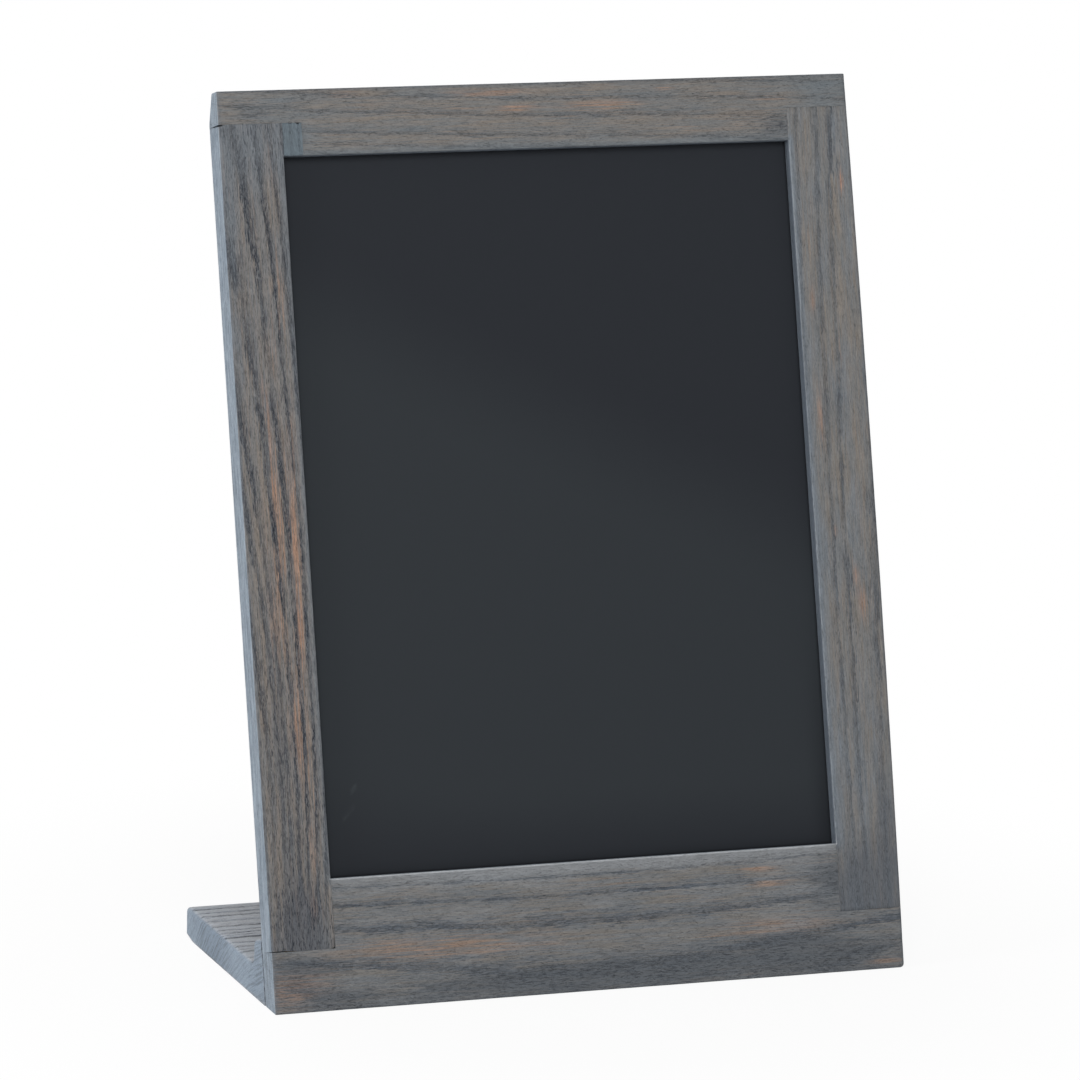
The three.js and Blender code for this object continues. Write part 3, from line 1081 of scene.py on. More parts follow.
        calm = self.maths("ADD", self.attribute("veiled"), self.attribute("pooled"), clamp=True)
        contrast = self.weighed(calm, -0.45 * self.wood.fibre, self.wood.fibre)
        light = self.swayed(1.0, fine, contrast)
        light = self.swayed(light, self.cloud(Figure.BROAD_FIBRES), self.times(contrast, 0.7))
        light = self.swayed(light, self.cloud(Figure.GRIT), self.wood.grit)
        light = self.maths("SUBTRACT", self.weighed(pits, -0.3, light), self.strokes())
        tone = self.vector_maths("SCALE", self.stained(porous, dashes, washed), None, None, light)

        rough = self.weighed(dashes, 0.16, self.remap(fine, 0.2, 0.8, 0.56, 0.7, soft=False))
        self.surface(tone, rough, gloss=0.3)
        height = self.weighed(dashes, -0.8, self.weighed(pits, -0.7, self.times(fine, 0.5)))
        self.bump(height, 0.00022, 0.8)
        return self.material


@dataclass(frozen=True)
class CharcoalCoat:
    """The matte charcoal coat of the writing sheet, with hairlines and wiping streaks, a painted sheen and
    painted shade.

    Attributes:
        name: the material's name.
        coat: the coat, without the painted sheen.
        haze: the coat under the painted sheen, a soft reflection of the surround.
        scratch: a hairline.
        edge: painted shade along the opening, and up the right side.
    """

    name: str = "charcoal_writing_coat"
    coat: Colour = colour(39, 42, 47)
    haze: Colour = colour(46, 50, 54)
    scratch: Colour = colour(66, 71, 75)
    edge: Colour = colour(18, 20, 24)

    def material(self) -> Material:
        """Lays out the finish.

        Returns:
            The material.
        """
        bench = FinishBench(self.name)
        grain = bench.attribute("grain", vector=True)
        cloud = bench.noise(bench.stretch(grain, (90.0, 70.0, 30.0), 2.0), 3.0, 0.5)
        wiped = bench.noise(bench.stretch(grain, (60.0, 1.2, 1.2), 4.0), 3.0, 0.6)
        speck = bench.noise(bench.stretch(grain, (0.35, 0.35, 0.35), 6.0), 1.0)
        # The painted sheen: the noted haze, swayed by clouds and wiping streaks.
        share = bench.swayed(bench.swayed(bench.attribute("haze"), cloud, 0.16), wiped, 0.08)
        tone = bench.blend(bench.remap(share, 0.0, 1.0, soft=False), self.coat, self.haze)
        broken = bench.noise(bench.stretch(grain, (5.0, 5.0, 5.0), 9.0), 2.0)
        broken = bench.remap(broken, 0.35, 0.6, 0.3, 1.0)
        tone = bench.blend(bench.times(bench.attribute("scratched"), broken), tone, self.scratch)
        # Painted shade along the opening and up the right side.
        tone = bench.blend(bench.times(bench.attribute("rim"), 0.95), tone, self.edge)
        bench.surface(tone, bench.remap(wiped, 0.3, 0.7, 0.5, 0.58, soft=False), gloss=0.12)
        bench.bump(bench.weighed(wiped, 0.3, speck), 0.00002, 0.5)
        return bench.material


@dataclass(frozen=True)
class BareBeech:
    """Plain dowel beech: pale, with short dark flecks along the grain.

    Attributes:
        name: the material's name.
        turn: how its grain is turned from upright, about each axis in radians.
        light: the wood.
        dark: its fibres and flecks.
    """

    name: str
    turn: tuple[float, float, float]
    light: Colour = colour(212, 180, 138)
    dark: Colour = colour(186, 149, 106)

    def material(self) -> Material:
        """Lays out the finish.

        Returns:
            The material.
        """
        bench = FinishBench(self.name)
        place = bench.own_place(self.turn)
        fibres = bench.noise(bench.stretch(place, (0.0005, 0.0005, 0.014), 1.0), 3.0, 0.6)
        flecks = bench.remap(bench.noise(bench.stretch(place, (0.0003, 0.0003, 0.0022), 5.0), 1.0), 0.62, 0.7)
        tone = bench.blend(bench.remap(fibres, 0.3, 0.7), self.light, self.dark)
        tone = bench.blend(bench.times(flecks, 0.5), tone, self.dark)
        bench.surface(tone, bench.remap(fibres, 0.2, 0.8, 0.6, 0.75))
        bench.bump(bench.maths("SUBTRACT", fibres, flecks), 0.00008, 0.6)
        return bench.material


@dataclass(frozen=True)
class BrownHardboard:
    """Pressed wood fibre: brown, with short fibres lying every way.

    Attributes:
        name: the material's name.
        turn: how the board is turned from upright, about each axis in radians.
        light: the paler fibres.
        dark: the darker ones.
        shive: the coarse pale ones.
    """

    name: str
    turn: tuple[float, float, float]
    light: Colour = colour(142, 106, 74)
    dark: Colour = colour(88, 62, 42)
    shive: Colour = colour(168, 130, 94)

    def material(self) -> Material:
        """Lays out the finish.

        Returns:
            The material.
        """
        bench = FinishBench(self.name)
        place = bench.own_place(self.turn)
        mottle = bench.noise(bench.stretch(place, (0.012, 0.012, 0.012), 3.0), 3.0, 0.6)
        flat = bench.noise(bench.stretch(place, (0.0035, 0.0007, 0.0007), 8.0), 3.0, 0.7, 1.2)
        upright = bench.noise(bench.stretch(place, (0.0007, 0.0007, 0.0035), 5.0), 3.0, 0.7, 1.2)
        fibre = bench.times(bench.maths("ADD", flat, upright), 0.5)
        share = bench.weighed(fibre, 0.8, bench.times(mottle, 0.2))
        tone = bench.blend(bench.remap(share, 0.38, 0.62), self.dark, self.light)
        tone = bench.coat(tone, self.shive, bench.times(flat, upright), 0.32, 0.4, 0.6)
        bench.surface(tone, bench.remap(fibre, 0.3, 0.7, 0.68, 0.85))
        bench.bump(fibre, 0.00012, 0.7)
        return bench.material


@dataclass(frozen=True)
class ZincSteel:
    """Zinc-bright steel, with a fine drawn grain and a dull spangle.

    Attributes:
        name: the material's name.
        metal: how far it is a clean metal, up to 1.
        light: the brighter parts of its spangle.
        dark: the duller ones.
    """

    name: str
    metal: float = 1.0
    light: Colour = colour(226, 226, 228)
    dark: Colour = colour(184, 186, 190)

    def material(self) -> Material:
        """Lays out the finish.

        Returns:
            The material.
        """
        bench = FinishBench(self.name)
        place = bench.own_place()
        spangle = bench.noise(bench.stretch(place, (0.0013, 0.0013, 0.0013), 2.0), 2.0)
        drawn = bench.noise(bench.stretch(place, (0.004, 0.00018, 0.00018), 5.0), 2.0, 0.6)
        tone = bench.blend(bench.remap(spangle, 0.3, 0.7), self.light, self.dark)
        rough = bench.weighed(drawn, 0.16, bench.remap(spangle, 0.3, 0.7, 0.34, 0.46))
        bench.surface(tone, rough, metal=self.metal)
        bench.bump(drawn, 0.00001, 0.5)
        return bench.material


@dataclass(frozen=True)
class OpenJoint:
    """A stretch of a glued joint that stands open at the face, and closes towards the back.

    Attributes:
        middle: where along the joint it is widest, in mm.
        reach: how far it reaches to either side of that, in mm.
        width: how wide it stands open there, in mm.
    """

    middle: float
    reach: float
    width: float

    def at(self, along: Array) -> Array:
        """How wide the joint stands open at each place along it."""
        return self.width * smooth(1.0 - np.abs(along - self.middle) / self.reach)


def opened(stretches: Sequence[OpenJoint], along: Array) -> Array:
    """How wide a joint with several open stretches stands open."""
    return sum((stretch.at(along) for stretch in stretches), np.zeros_like(along))


@dataclass(frozen=True)
class OpenJoints:
    """Where the joints round a piece stand open.

    Attributes:
        top: along its upper end.
        bottom: along its lower end.
        side: along its side.
    """

    top: tuple[OpenJoint, ...] = ()
    bottom: tuple[OpenJoint, ...] = ()
    side: tuple[OpenJoint, ...] = ()


def cut_square(along: Array) -> Array:
    """How squarely a surface cuts the grain, from how far it faces along the grain."""
    return smooth((np.abs(along) - 0.6) / 0.3)


@dataclass(frozen=True)
class LeaningFrame:
    """The wooden frame: two rails, two stiles between their notches, and a block in one notch.

    Sizes are in mm, measured along the frame's own face. Its corners are radii, and a notch is how far the
    stiles reach into a rail. The front layer is the wood in front of the rabbet, whose walls are as steep as
    the cut. The level foot is felt as far up as levelled says, and an open joint as far off as closing says.
    The steps are how far apart the lines across and along the grain lie.
    """

    place: BoardPlace
    width: float = 261.0
    height: float = 356.0
    thickness: float = 12.7
    stile_width: float = 25.7
    top_rail_height: float = 26.0
    bottom_rail_height: float = 51.0
    arris: float = 0.8
    arris_wear: float = 0.14
    right_bow: float = 1.1
    top_corner: float = 0.5
    left_foot_corner: float = 0.4
    right_foot_corner: float = 1.7
    top_notch: float = 13.0
    bottom_notch: float = 27.0
    infill_width: float = 7.8
    front_layer: float = 4.5
    rabbet_width: float = 8.0
    top_edge_thickness: float = 6.4
    levelled: float = 9.0
    glue_line: float = 0.04
    closing: float = 1.5
    cut: float = 0.02
    across_step: float = 0.5
    along_step: float = 2.4

    @property
    def half_width(self) -> float:
        """Half the width of the face."""
        return self.width / 2

    @property
    def opening_half(self) -> float:
        """Half the width of the opening."""
        return self.half_width - self.stile_width

    @property
    def opening_top(self) -> float:
        """The height of the opening's upper edge."""
        return self.height - self.top_rail_height

    @property
    def rabbet_half(self) -> float:
        """Half the width between the rabbet's walls."""
        return self.opening_half + self.rabbet_width

    @property
    def rabbet_low(self) -> float:
        """The height of the rabbet's lower wall."""
        return self.bottom_rail_height - self.rabbet_width

    @property
    def rabbet_high(self) -> float:
        """The height of the rabbet's upper wall."""
        return self.opening_top + self.rabbet_width

    @property
    def bottom_joint(self) -> float:
        """The height of the joints in the bottom rail."""
        return self.bottom_rail_height - self.bottom_notch

    @property
    def top_joint(self) -> float:
        """The height of the joints in the top rail."""
        return self.opening_top + self.top_notch

    @property
    def stile_low(self) -> float:
        """The height of the stiles' lower ends."""
        return self.bottom_joint + self.glue_line

    @property
    def stile_high(self) -> float:
        """The height of the stiles' upper ends, and of the infill's."""
        return self.top_joint - self.glue_line

    @property
    def stile_inner(self) -> float:
        """How far from the middle the stiles' inner sides stand."""
        return self.opening_half + self.glue_line / 2

    def in_from_outline(self, across: Array, up: Array) -> Array:
        """How far each place lies in from the frame's outline."""
        return np.minimum(self.half_width - np.abs(across), np.minimum(up, self.height - up))

    def out_from_opening(self, across: Array, up: Array) -> Array:
        """How far each place lies out from the opening's edge."""
        beyond = np.maximum(self.bottom_rail_height - up, up - self.opening_top)
        return np.hypot(np.maximum(np.abs(across) - self.opening_half, 0.0), np.maximum(beyond, 0.0))

    def worn_arris(self, across: Array, up: Array) -> Array:
        """The radius of the eased edges, which sanding left a little uneven.

        Args:
            across: each place's distance across from the middle, in mm.
            up: its height on the board.

        Returns:
            The radius near each place, in mm.
        """
        places = stacked(across, up, np.zeros_like(up))
        sanding = Unevenness(5, (17.0,) * 3).at(places) + 0.5 * Unevenness(6, (5.0,) * 3).at(places)
        return self.arris * (1.0 + self.arris_wear * np.maximum(0.8 + sanding, 0.0))

    def front_depth(self, across: Array, up: Array) -> Array:
        """How far the front of the frame lies behind its face: nothing, but at the eased edges."""
        from_edge = np.minimum(self.in_from_outline(across, up), self.out_from_opening(across, up))
        return eased(from_edge, self.worn_arris(across, up))

    def back_depth(self, across: Array, up: Array) -> Array:
        """How far the back lies behind the face: rabbet, bevel and eased outer edges.

        Args:
            across: each place's distance across from the middle, in mm.
            up: its height on the board.

        Returns:
            One depth for each place, in mm.
        """
        outer = np.minimum(self.half_width - np.abs(across), self.height - up)
        full = self.thickness - eased(outer, self.arris)
        share = np.clip((up - self.top_joint) / (self.height - self.top_joint), 0.0, 1.0)
        bevelled = self.thickness + (self.top_edge_thickness - self.thickness) * share
        in_rabbet = (np.abs(across) <= self.rabbet_half) & (up >= self.rabbet_low) & (up <= self.rabbet_high)
        return np.where(in_rabbet, self.front_layer, np.minimum(full, bevelled))

    def settled(self, places: Array) -> Array:
        """Places with the outline's round corners, bowed right edge and level foot.

        Args:
            places: across, depth and up along the last axis, on the frame before these were cut, in mm.

        Returns:
            The same places on the finished frame.
        """
        across, depth, up = places[..., 0], places[..., 1], places[..., 2]
        half_height = self.height / 2
        foot_corner = np.where(across < 0.0, self.left_foot_corner, self.right_foot_corner)
        radius = np.where(up < half_height, foot_corner, self.top_corner)
        across, up = round_corners(across, up - half_height, self.half_width, half_height, radius)
        up = up + half_height

        bowed_height = self.height - self.right_foot_corner - self.top_corner
        share = np.clip((up - self.right_foot_corner) / bowed_height, 0.0, 1.0)
        outward = np.clip((across - self.opening_half) / self.stile_width, 0.0, 1.0)
        across = across + self.right_bow * 4.0 * share * (1.0 - share) * outward

        level = depth * math.tan(self.place.lean) * smooth(1.0 - up / self.levelled)
        return stacked(across, depth, up + level)

    def across_stops(self, *joints: float) -> list[float]:
        """The stops that a rail needs across the face.

        Args:
            joints: where its joints stand, in mm.

        Returns:
            The places of its stops, in mm.
        """
        stops = list(joints)
        for side in (-1, 1):
            stops += edge_stops(side * self.half_width, -side, self.arris)
            stops += edge_stops(side * self.opening_half, side, self.arris)
            stops += [side * self.rabbet_half, side * (self.rabbet_half + self.cut)]
        return stops + [self.left_foot_corner - self.half_width, self.half_width - self.right_foot_corner]

    def up_stops(self, low: float, high: float) -> list[float]:
        """The stops that a piece needs up the face.

        Args:
            low: where the piece starts, in mm.
            high: where it ends.

        Returns:
            The places of its stops, in mm.
        """
        stops = edge_stops(0.0, 1, self.arris) + edge_stops(self.height, -1, self.arris)
        stops += edge_stops(self.bottom_rail_height, -1, self.arris)
        stops += edge_stops(self.opening_top, 1, self.arris)
        stops += [self.rabbet_low, self.rabbet_low - self.cut, self.rabbet_high, self.rabbet_high + self.cut]
        stops += [self.left_foot_corner, self.right_foot_corner, self.height - self.top_corner]
        return [low, high] + [stop for stop in stops if low < stop < high]

    def piece(
        self, name: str, stock: Stock, across: Array, up: Array, holds: Holds | None = None,
        joints: OpenJoints = OpenJoints(),
    ) -> Piece:
        """One member of the frame.

        Args:
            name: the piece's name.
            stock: the wood that it is cut from.
            across: its lines across the face, in mm.
            up: its lines up the face, in mm.
            holds: says which cells hold wood, from the places of their middles. Without it, all do.
            joints: where its joints stand open.

        Returns:
            The piece, with its grain noted on its corners.
        """
        x, u = np.meshgrid(across, up, indexing="ij")
        front = self.drawn_back(stacked(x, self.front_depth(x, u), u), joints)
        back = stacked(x, self.back_depth(x, u), u)
        middles = np.meshgrid((across[1:] + across[:-1]) / 2, (up[1:] + up[:-1]) / 2, indexing="ij")
        cells = holds(*middles) if holds else np.ones_like(middles[0], bool)
        places, faces = Plate(front, back, cells).mesh_data()
        piece = make_piece(name, self.place.to_part(self.settled(places)), faces)
        self.note_grain(piece, stock, places)
        return piece

    def drawn_back(self, front: Array, joints: OpenJoints) -> Array:
        """Draws the front of a piece back where its joints stand open.

        Args:
            front: its crossings as across, depth and up, in mm.
            joints: where they stand open.

        Returns:
            The moved crossings.
        """
        across, depth, up = front[..., 0], front[..., 1], front[..., 2]
        near_top = smooth(1.0 - (self.stile_high - up) / self.closing) * opened(joints.top, across)
        near_bottom = smooth(1.0 - (up - self.stile_low) / self.closing) * opened(joints.bottom, across)
        beside = smooth(1.0 - (np.abs(across) - self.stile_inner) / self.closing) * opened(joints.side, up)
        return stacked(across + np.sign(across) * beside, depth, up - near_top + near_bottom)

    def note_grain(self, piece: Piece, stock: Stock, places: Array) -> None:
        """Notes the grain, rings, rubbing and edges on a member's corners, and sinks its pores.

        Args:
            piece: the member.
            stock: the wood that it is cut from.
            places: its corners as across, depth and up, in mm.
        """
        across, depth, up = places.T
        upward, rearward = self.facing(piece)
        sideways = corner_normals(piece)[:, 0]
        behind = smooth((depth - 0.1) / 0.6)
        out = self.out_from_opening(across, up)
        inset = self.in_from_outline(across, up)
        inward = np.clip(-np.sign(across) * sideways, 0.0, 1.0)
        # How far each corner faces the light from above, and a little from the side: it places the painted
        # highlight.
        facing_light = np.clip(upward, 0.0, 1.0) * (up < self.height / 2) + 0.35 * inward
        note(piece, "wall", behind * (1.0 - 0.32 * smooth((rearward - 0.6) / 0.3)))
        # inner: where the painted shade on the opening's walls lies.
        note(piece, "inner", behind * smooth((3.0 - out) / 2.0))
        note(piece, "arris_lit", smooth(2.0 - out) * smooth(2.4 * facing_light * np.clip(-rearward, 0.0, 1.0)))
        note(piece, "margin", np.exp(-np.maximum(out - 0.6, 0.0) / 2.6))
        # outline: where the painted shade along the outer arrises lies.
        note(piece, "outline", np.exp(-np.maximum(inset - 0.3, 0.0) / 0.9) * (1.0 - behind))
        note(piece, "end_grain", cut_square(sideways if stock.run is GrainRun.ACROSS else upward))
        stock.note_on(piece, stock.axes(places), 1.0 - behind)

    def facing(self, piece: Piece) -> tuple[Array, Array]:
        """How a piece's surface faces.

        Args:
            piece: the piece.

        Returns:
            How far each corner faces up the board, and how far to its back, from -1 to 1.
        """
        sine, cosine = math.sin(self.place.lean), math.cos(self.place.lean)
        normals = corner_normals(piece)
        return normals @ np.array([0.0, sine, cosine]), normals @ np.array([0.0, cosine, -sine])

    def top_rail(self, stock: Stock) -> Piece:
        """The top rail: full width above the joints, and between them and the infill below.

        Args:
            stock: the wood that it is cut from.

        Returns:
            The piece.
        """
        left = -self.opening_half + self.infill_width + self.glue_line / 2
        right = self.opening_half - self.glue_line / 2
        across = ruled(self.across_stops(left, right), self.along_step)
        up = ruled(self.up_stops(self.opening_top, self.height) + [self.top_joint], self.across_step)
        return self.piece(
            "top_rail_wood", stock, across, up, lambda x, u: (u > self.top_joint) | ((x > left) & (x < right))
        )

    def bottom_rail(self, stock: Stock) -> Piece:
        """The bottom rail: as the top one, but taller, with its foot cut level with the table.

        Args:
            stock: the wood that it is cut from.

        Returns:
            The piece.
        """
        half = self.opening_half - self.glue_line / 2
        across = ruled(self.across_stops(-half, half), self.along_step)
        up = ruled(self.up_stops(0.0, self.bottom_rail_height) + [self.bottom_joint], self.across_step)
        return self.piece(
            "bottom_rail_wood", stock, across, up, lambda x, u: (u < self.bottom_joint) | (np.abs(x) < half)
        )

    def stile(self, side: Side, stock: Stock, joints: OpenJoints = OpenJoints()) -> Piece:
        """A stile, from one joint to the other.

        Args:
            side: which stile.
            stock: the wood that it is cut from.
            joints: where its joints stand open.

        Returns:
            The piece.
        """
        stops = edge_stops(self.half_width, -1, self.arris) + edge_stops(self.stile_inner, 1, self.arris)
        stops += [self.rabbet_half, self.rabbet_half + self.cut]
        across = ruled((side.value * stop for stop in stops), self.across_step)
        up_stops = self.up_stops(self.stile_low, self.stile_high)
        up_stops += [self.stile_low + self.closing, self.stile_high - self.closing]
        up = ruled(up_stops, self.along_step)
        return self.piece(f"{side.name.lower()}_stile_wood", stock, across, up, joints=joints)

    def infill(self, stock: Stock, joints: OpenJoints) -> Piece:
        """The block that closes the over-long notch beside the top left joint.

        Args:
            stock: the wood that it is cut from.
            joints: where its joints stand open.

        Returns:
            The piece.
        """
        left = -self.opening_half + self.glue_line / 2
        right = -self.opening_half + self.infill_width - self.glue_line / 2
        across = ruled((left, right), self.across_step * 1.2)
        up = ruled(self.up_stops(self.opening_top, self.stile_high), self.across_step * 1.6)
        return self.piece("joint_infill_wood", stock, across, up, joints=joints)


@dataclass(frozen=True)
class Hairline:
    """A faint scratch in the writing sheet.

    Attributes:
        start: where it starts, across and up in mm.
        end: where it ends.
        width: how wide it is, in mm.
        strength: how much it shows, up to 1.
    """

    start: tuple[float, float]
    end: tuple[float, float]
    width: float = 0.5
    strength: float = 0.6

    def at(self, across: Array, up: Array) -> Array:
        """How much it shows.

        Args:
            across: each place's distance across from the middle, in mm.
            up: its height on the board.

        Returns:
            One share for each place.
        """
        run = np.array(self.end) - np.array(self.start)
        from_start = stacked(across - self.start[0], up - self.start[1])
        share = np.clip(from_start @ run / (run @ run), 0.0, 1.0)
        gap = np.hypot(*np.moveaxis(from_start - share[..., None] * run, -1, 0))
        taper = np.sqrt(np.clip(4.0 * share * (1.0 - share), 0.0, 1.0))
        return self.strength * taper * smooth(1.5 - gap / self.width)


@dataclass(frozen=True)
class WritingPanel:
    """The thin coated sheet that is written on.

    Sizes are in mm, measured along the board's face. The face waves by flatness, in waves as long as wave,
    which die out within calm of its edge. The frame hides the outer part, and the rim is painted shade along
    the opening. A painted sheen, the soft reflection of the surround, lies below a line that passes
    painted_sheen_top in the middle and falls by painted_sheen_slope to the right, but fades out over the
    lowest part, so the sheet is darker towards its foot. Painted shade runs up the right side to shade_top.
    """

    place: BoardPlace
    half_width: float
    low: float
    high: float
    front: float
    thickness: float = 0.6
    corner: float = 2.0
    arris: float = 0.12
    flatness: float = 0.05
    wave: float = 90.0
    calm: float = 12.0
    step: float = 1.25
    hidden: float = 7.3
    rim: float = 1.0
    painted_sheen_top: float = 224.0
    painted_sheen_slope: float = 0.5
    painted_sheen_edge: float = 62.0
    sheen_free_low: float = 30.0
    shade_width: float = 9.0
    shade_top: float = 150.0
    shade_fade: float = 90.0
    shade: float = 0.34
    scratches: tuple[Hairline, ...] = (
        Hairline((-93.0, 83.0), (-90.5, 86.5)),
        Hairline((-97.0, 73.0), (-91.5, 78.5), strength=0.5),
    )

    def sheet(self) -> Piece:
        """The sheet: rounded corners, a slightly eased rim, and a face that isn't quite flat.

        Returns:
            The piece.
        """
        stops = [self.corner - self.half_width, self.half_width - self.corner]
        stops += edge_stops(-self.half_width, 1, self.arris) + edge_stops(self.half_width, -1, self.arris)
        up_stops = [self.low + self.corner, self.high - self.corner]
        up_stops += edge_stops(self.low, 1, self.arris) + edge_stops(self.high, -1, self.arris)
        up_stops += [self.low + self.hidden, self.low + self.hidden + self.rim]
        x, u = np.meshgrid(ruled(stops, self.step), ruled(up_stops, self.step), indexing="ij")
        gap = np.minimum(self.half_width - np.abs(x), np.minimum(u - self.low, self.high - u))
        fall = eased(gap, self.arris)
        uneven = Unevenness(21, (self.wave,) * 3).at(stacked(x, u, np.zeros_like(u)))
        wave = self.flatness * (0.5 + 0.5 * uneven) * smooth(gap / self.calm)
        middle, half_height = (self.low + self.high) / 2, (self.high - self.low) / 2
        x, u = round_corners(x, u - middle, self.half_width, half_height, self.corner)
        front = stacked(x, self.front + fall + wave, u + middle)
        back = stacked(x, self.front + self.thickness - fall + wave, u + middle)
        cells = np.ones((x.shape[0] - 1, x.shape[1] - 1), bool)
        places, faces = Plate(front, back, cells, 2).mesh_data()
        piece = make_piece("writing_sheet_coated", self.place.to_part(places), faces)
        self.note_sheen_and_shade(piece, places)
        return piece

    def note_sheen_and_shade(self, piece: Piece, places: Array) -> None:
        """Notes where the painted sheen lies: below a slanting line, fading out along the foot; and the
        painted shade.

        Args:
            piece: the sheet.
            places: its corners as across, depth and up, in mm.
        """
        across, depth, up = places.T
        open_half, open_low = self.half_width - self.hidden, self.low + self.hidden
        below = self.painted_sheen_top - self.painted_sheen_slope * across - up
        reach = self.sheen_free_low * (1.0 + 0.7 * np.exp((-open_half - across) / self.sheen_free_low))
        # clean: where the painted sheen fades out over the lowest part, so the sheet is darker towards its
        # foot.
        clean = smooth(1.0 - (up - open_low) / reach)
        # Painted shade up the right side of the opening.
        beside = smooth(1.0 - (open_half - across) / self.shade_width)
        shaded = self.shade * beside * smooth((self.shade_top - up) / self.shade_fade)
        gap = np.minimum(self.half_width - np.abs(across), up - self.low) - self.hidden
        note(piece, "grain", stacked(up, across, depth))
        # haze: where the painted sheen lies.
        note(piece, "haze", smooth(0.5 + below / self.painted_sheen_edge) * (1.0 - clean))
        # rim: painted shade along the opening, and up the right side.
        note(piece, "rim", np.maximum(smooth(1.0 - gap / self.rim), shaded))
        note(piece, "scratched", np.clip(sum(line.at(across, up) for line in self.scratches), 0.0, 1.0))


@dataclass(frozen=True)
class ScrewHole:
    """A countersunk hole, drilled from the back of the upstand. Sizes in mm.

    Attributes:
        mouth: the middle of the hole where it leaves the upstand.
        head_radius: the countersink's radius at its mouth.
        head_depth: how deep it lies before it narrows, with the screw's head below the surface.
        cone_depth: how far the countersink narrows.
        shank_radius: the radius of the rest.
        length: how deep the hole is in all.
        sides: how many sides it is drawn with.
        past: how far the body that cuts it stands out of the upstand.
    """

    mouth: tuple[float, float, float]
    head_radius: float = 3.35
    head_depth: float = 0.25
    cone_depth: float = 2.1
    shank_radius: float = 1.9
    length: float = 16.0
    sides: int = 40
    past: float = 3.0

    def cutter(self) -> Piece:
        """The body that the hole takes away.

        Returns:
            The body, not yet in the scene.
        """
        stations = (
            (self.past, self.head_radius),
            (-self.head_depth, self.head_radius),
            (-self.head_depth - self.cone_depth, self.shank_radius),
            (-self.length, self.shank_radius),
        )
        turns = np.linspace(0.0, 2.0 * math.pi, self.sides, endpoint=False)
        rings = [stacked(r * np.cos(turns), np.full_like(turns, y), r * np.sin(turns)) for y, r in stations]
        tool = bmesh.new()
        rows = [[tool.verts.new((place + self.mouth) * MM) for place in ring] for ring in rings]
        for outer, inner in zip(rows, rows[1:]):
            for i in range(self.sides):
                after = (i + 1) % self.sides
                tool.faces.new((outer[i], outer[after], inner[after], inner[i]))
        tool.faces.new(rows[0][::-1])
        tool.faces.new(rows[-1])
        bmesh.ops.recalc_face_normals(tool, faces=tool.faces)
        mesh = bpy.data.meshes.new("hole_cutter")
        tool.to_mesh(mesh)
        tool.free()
        return bpy.data.objects.new("hole_cutter", mesh)

    def cut(self, piece: Piece) -> None:
        """Cuts the hole.

        Args:
            piece: the piece that it goes into.
        """
        cutter = self.cutter()
        bpy.context.scene.collection.objects.link(cutter)
        drill = piece.modifiers.new("drill", "BOOLEAN")
        drill.operation = "DIFFERENCE"
        drill.solver = "EXACT"
        drill.object = cutter
        drilled = bpy.data.meshes.new_from_object(piece.evaluated_get(bpy.context.evaluated_depsgraph_get()))
        piece.modifiers.remove(drill)
        piece.data = drilled
        smooth_faces(drilled)
        bpy.data.objects.remove(cutter, do_unlink=True)


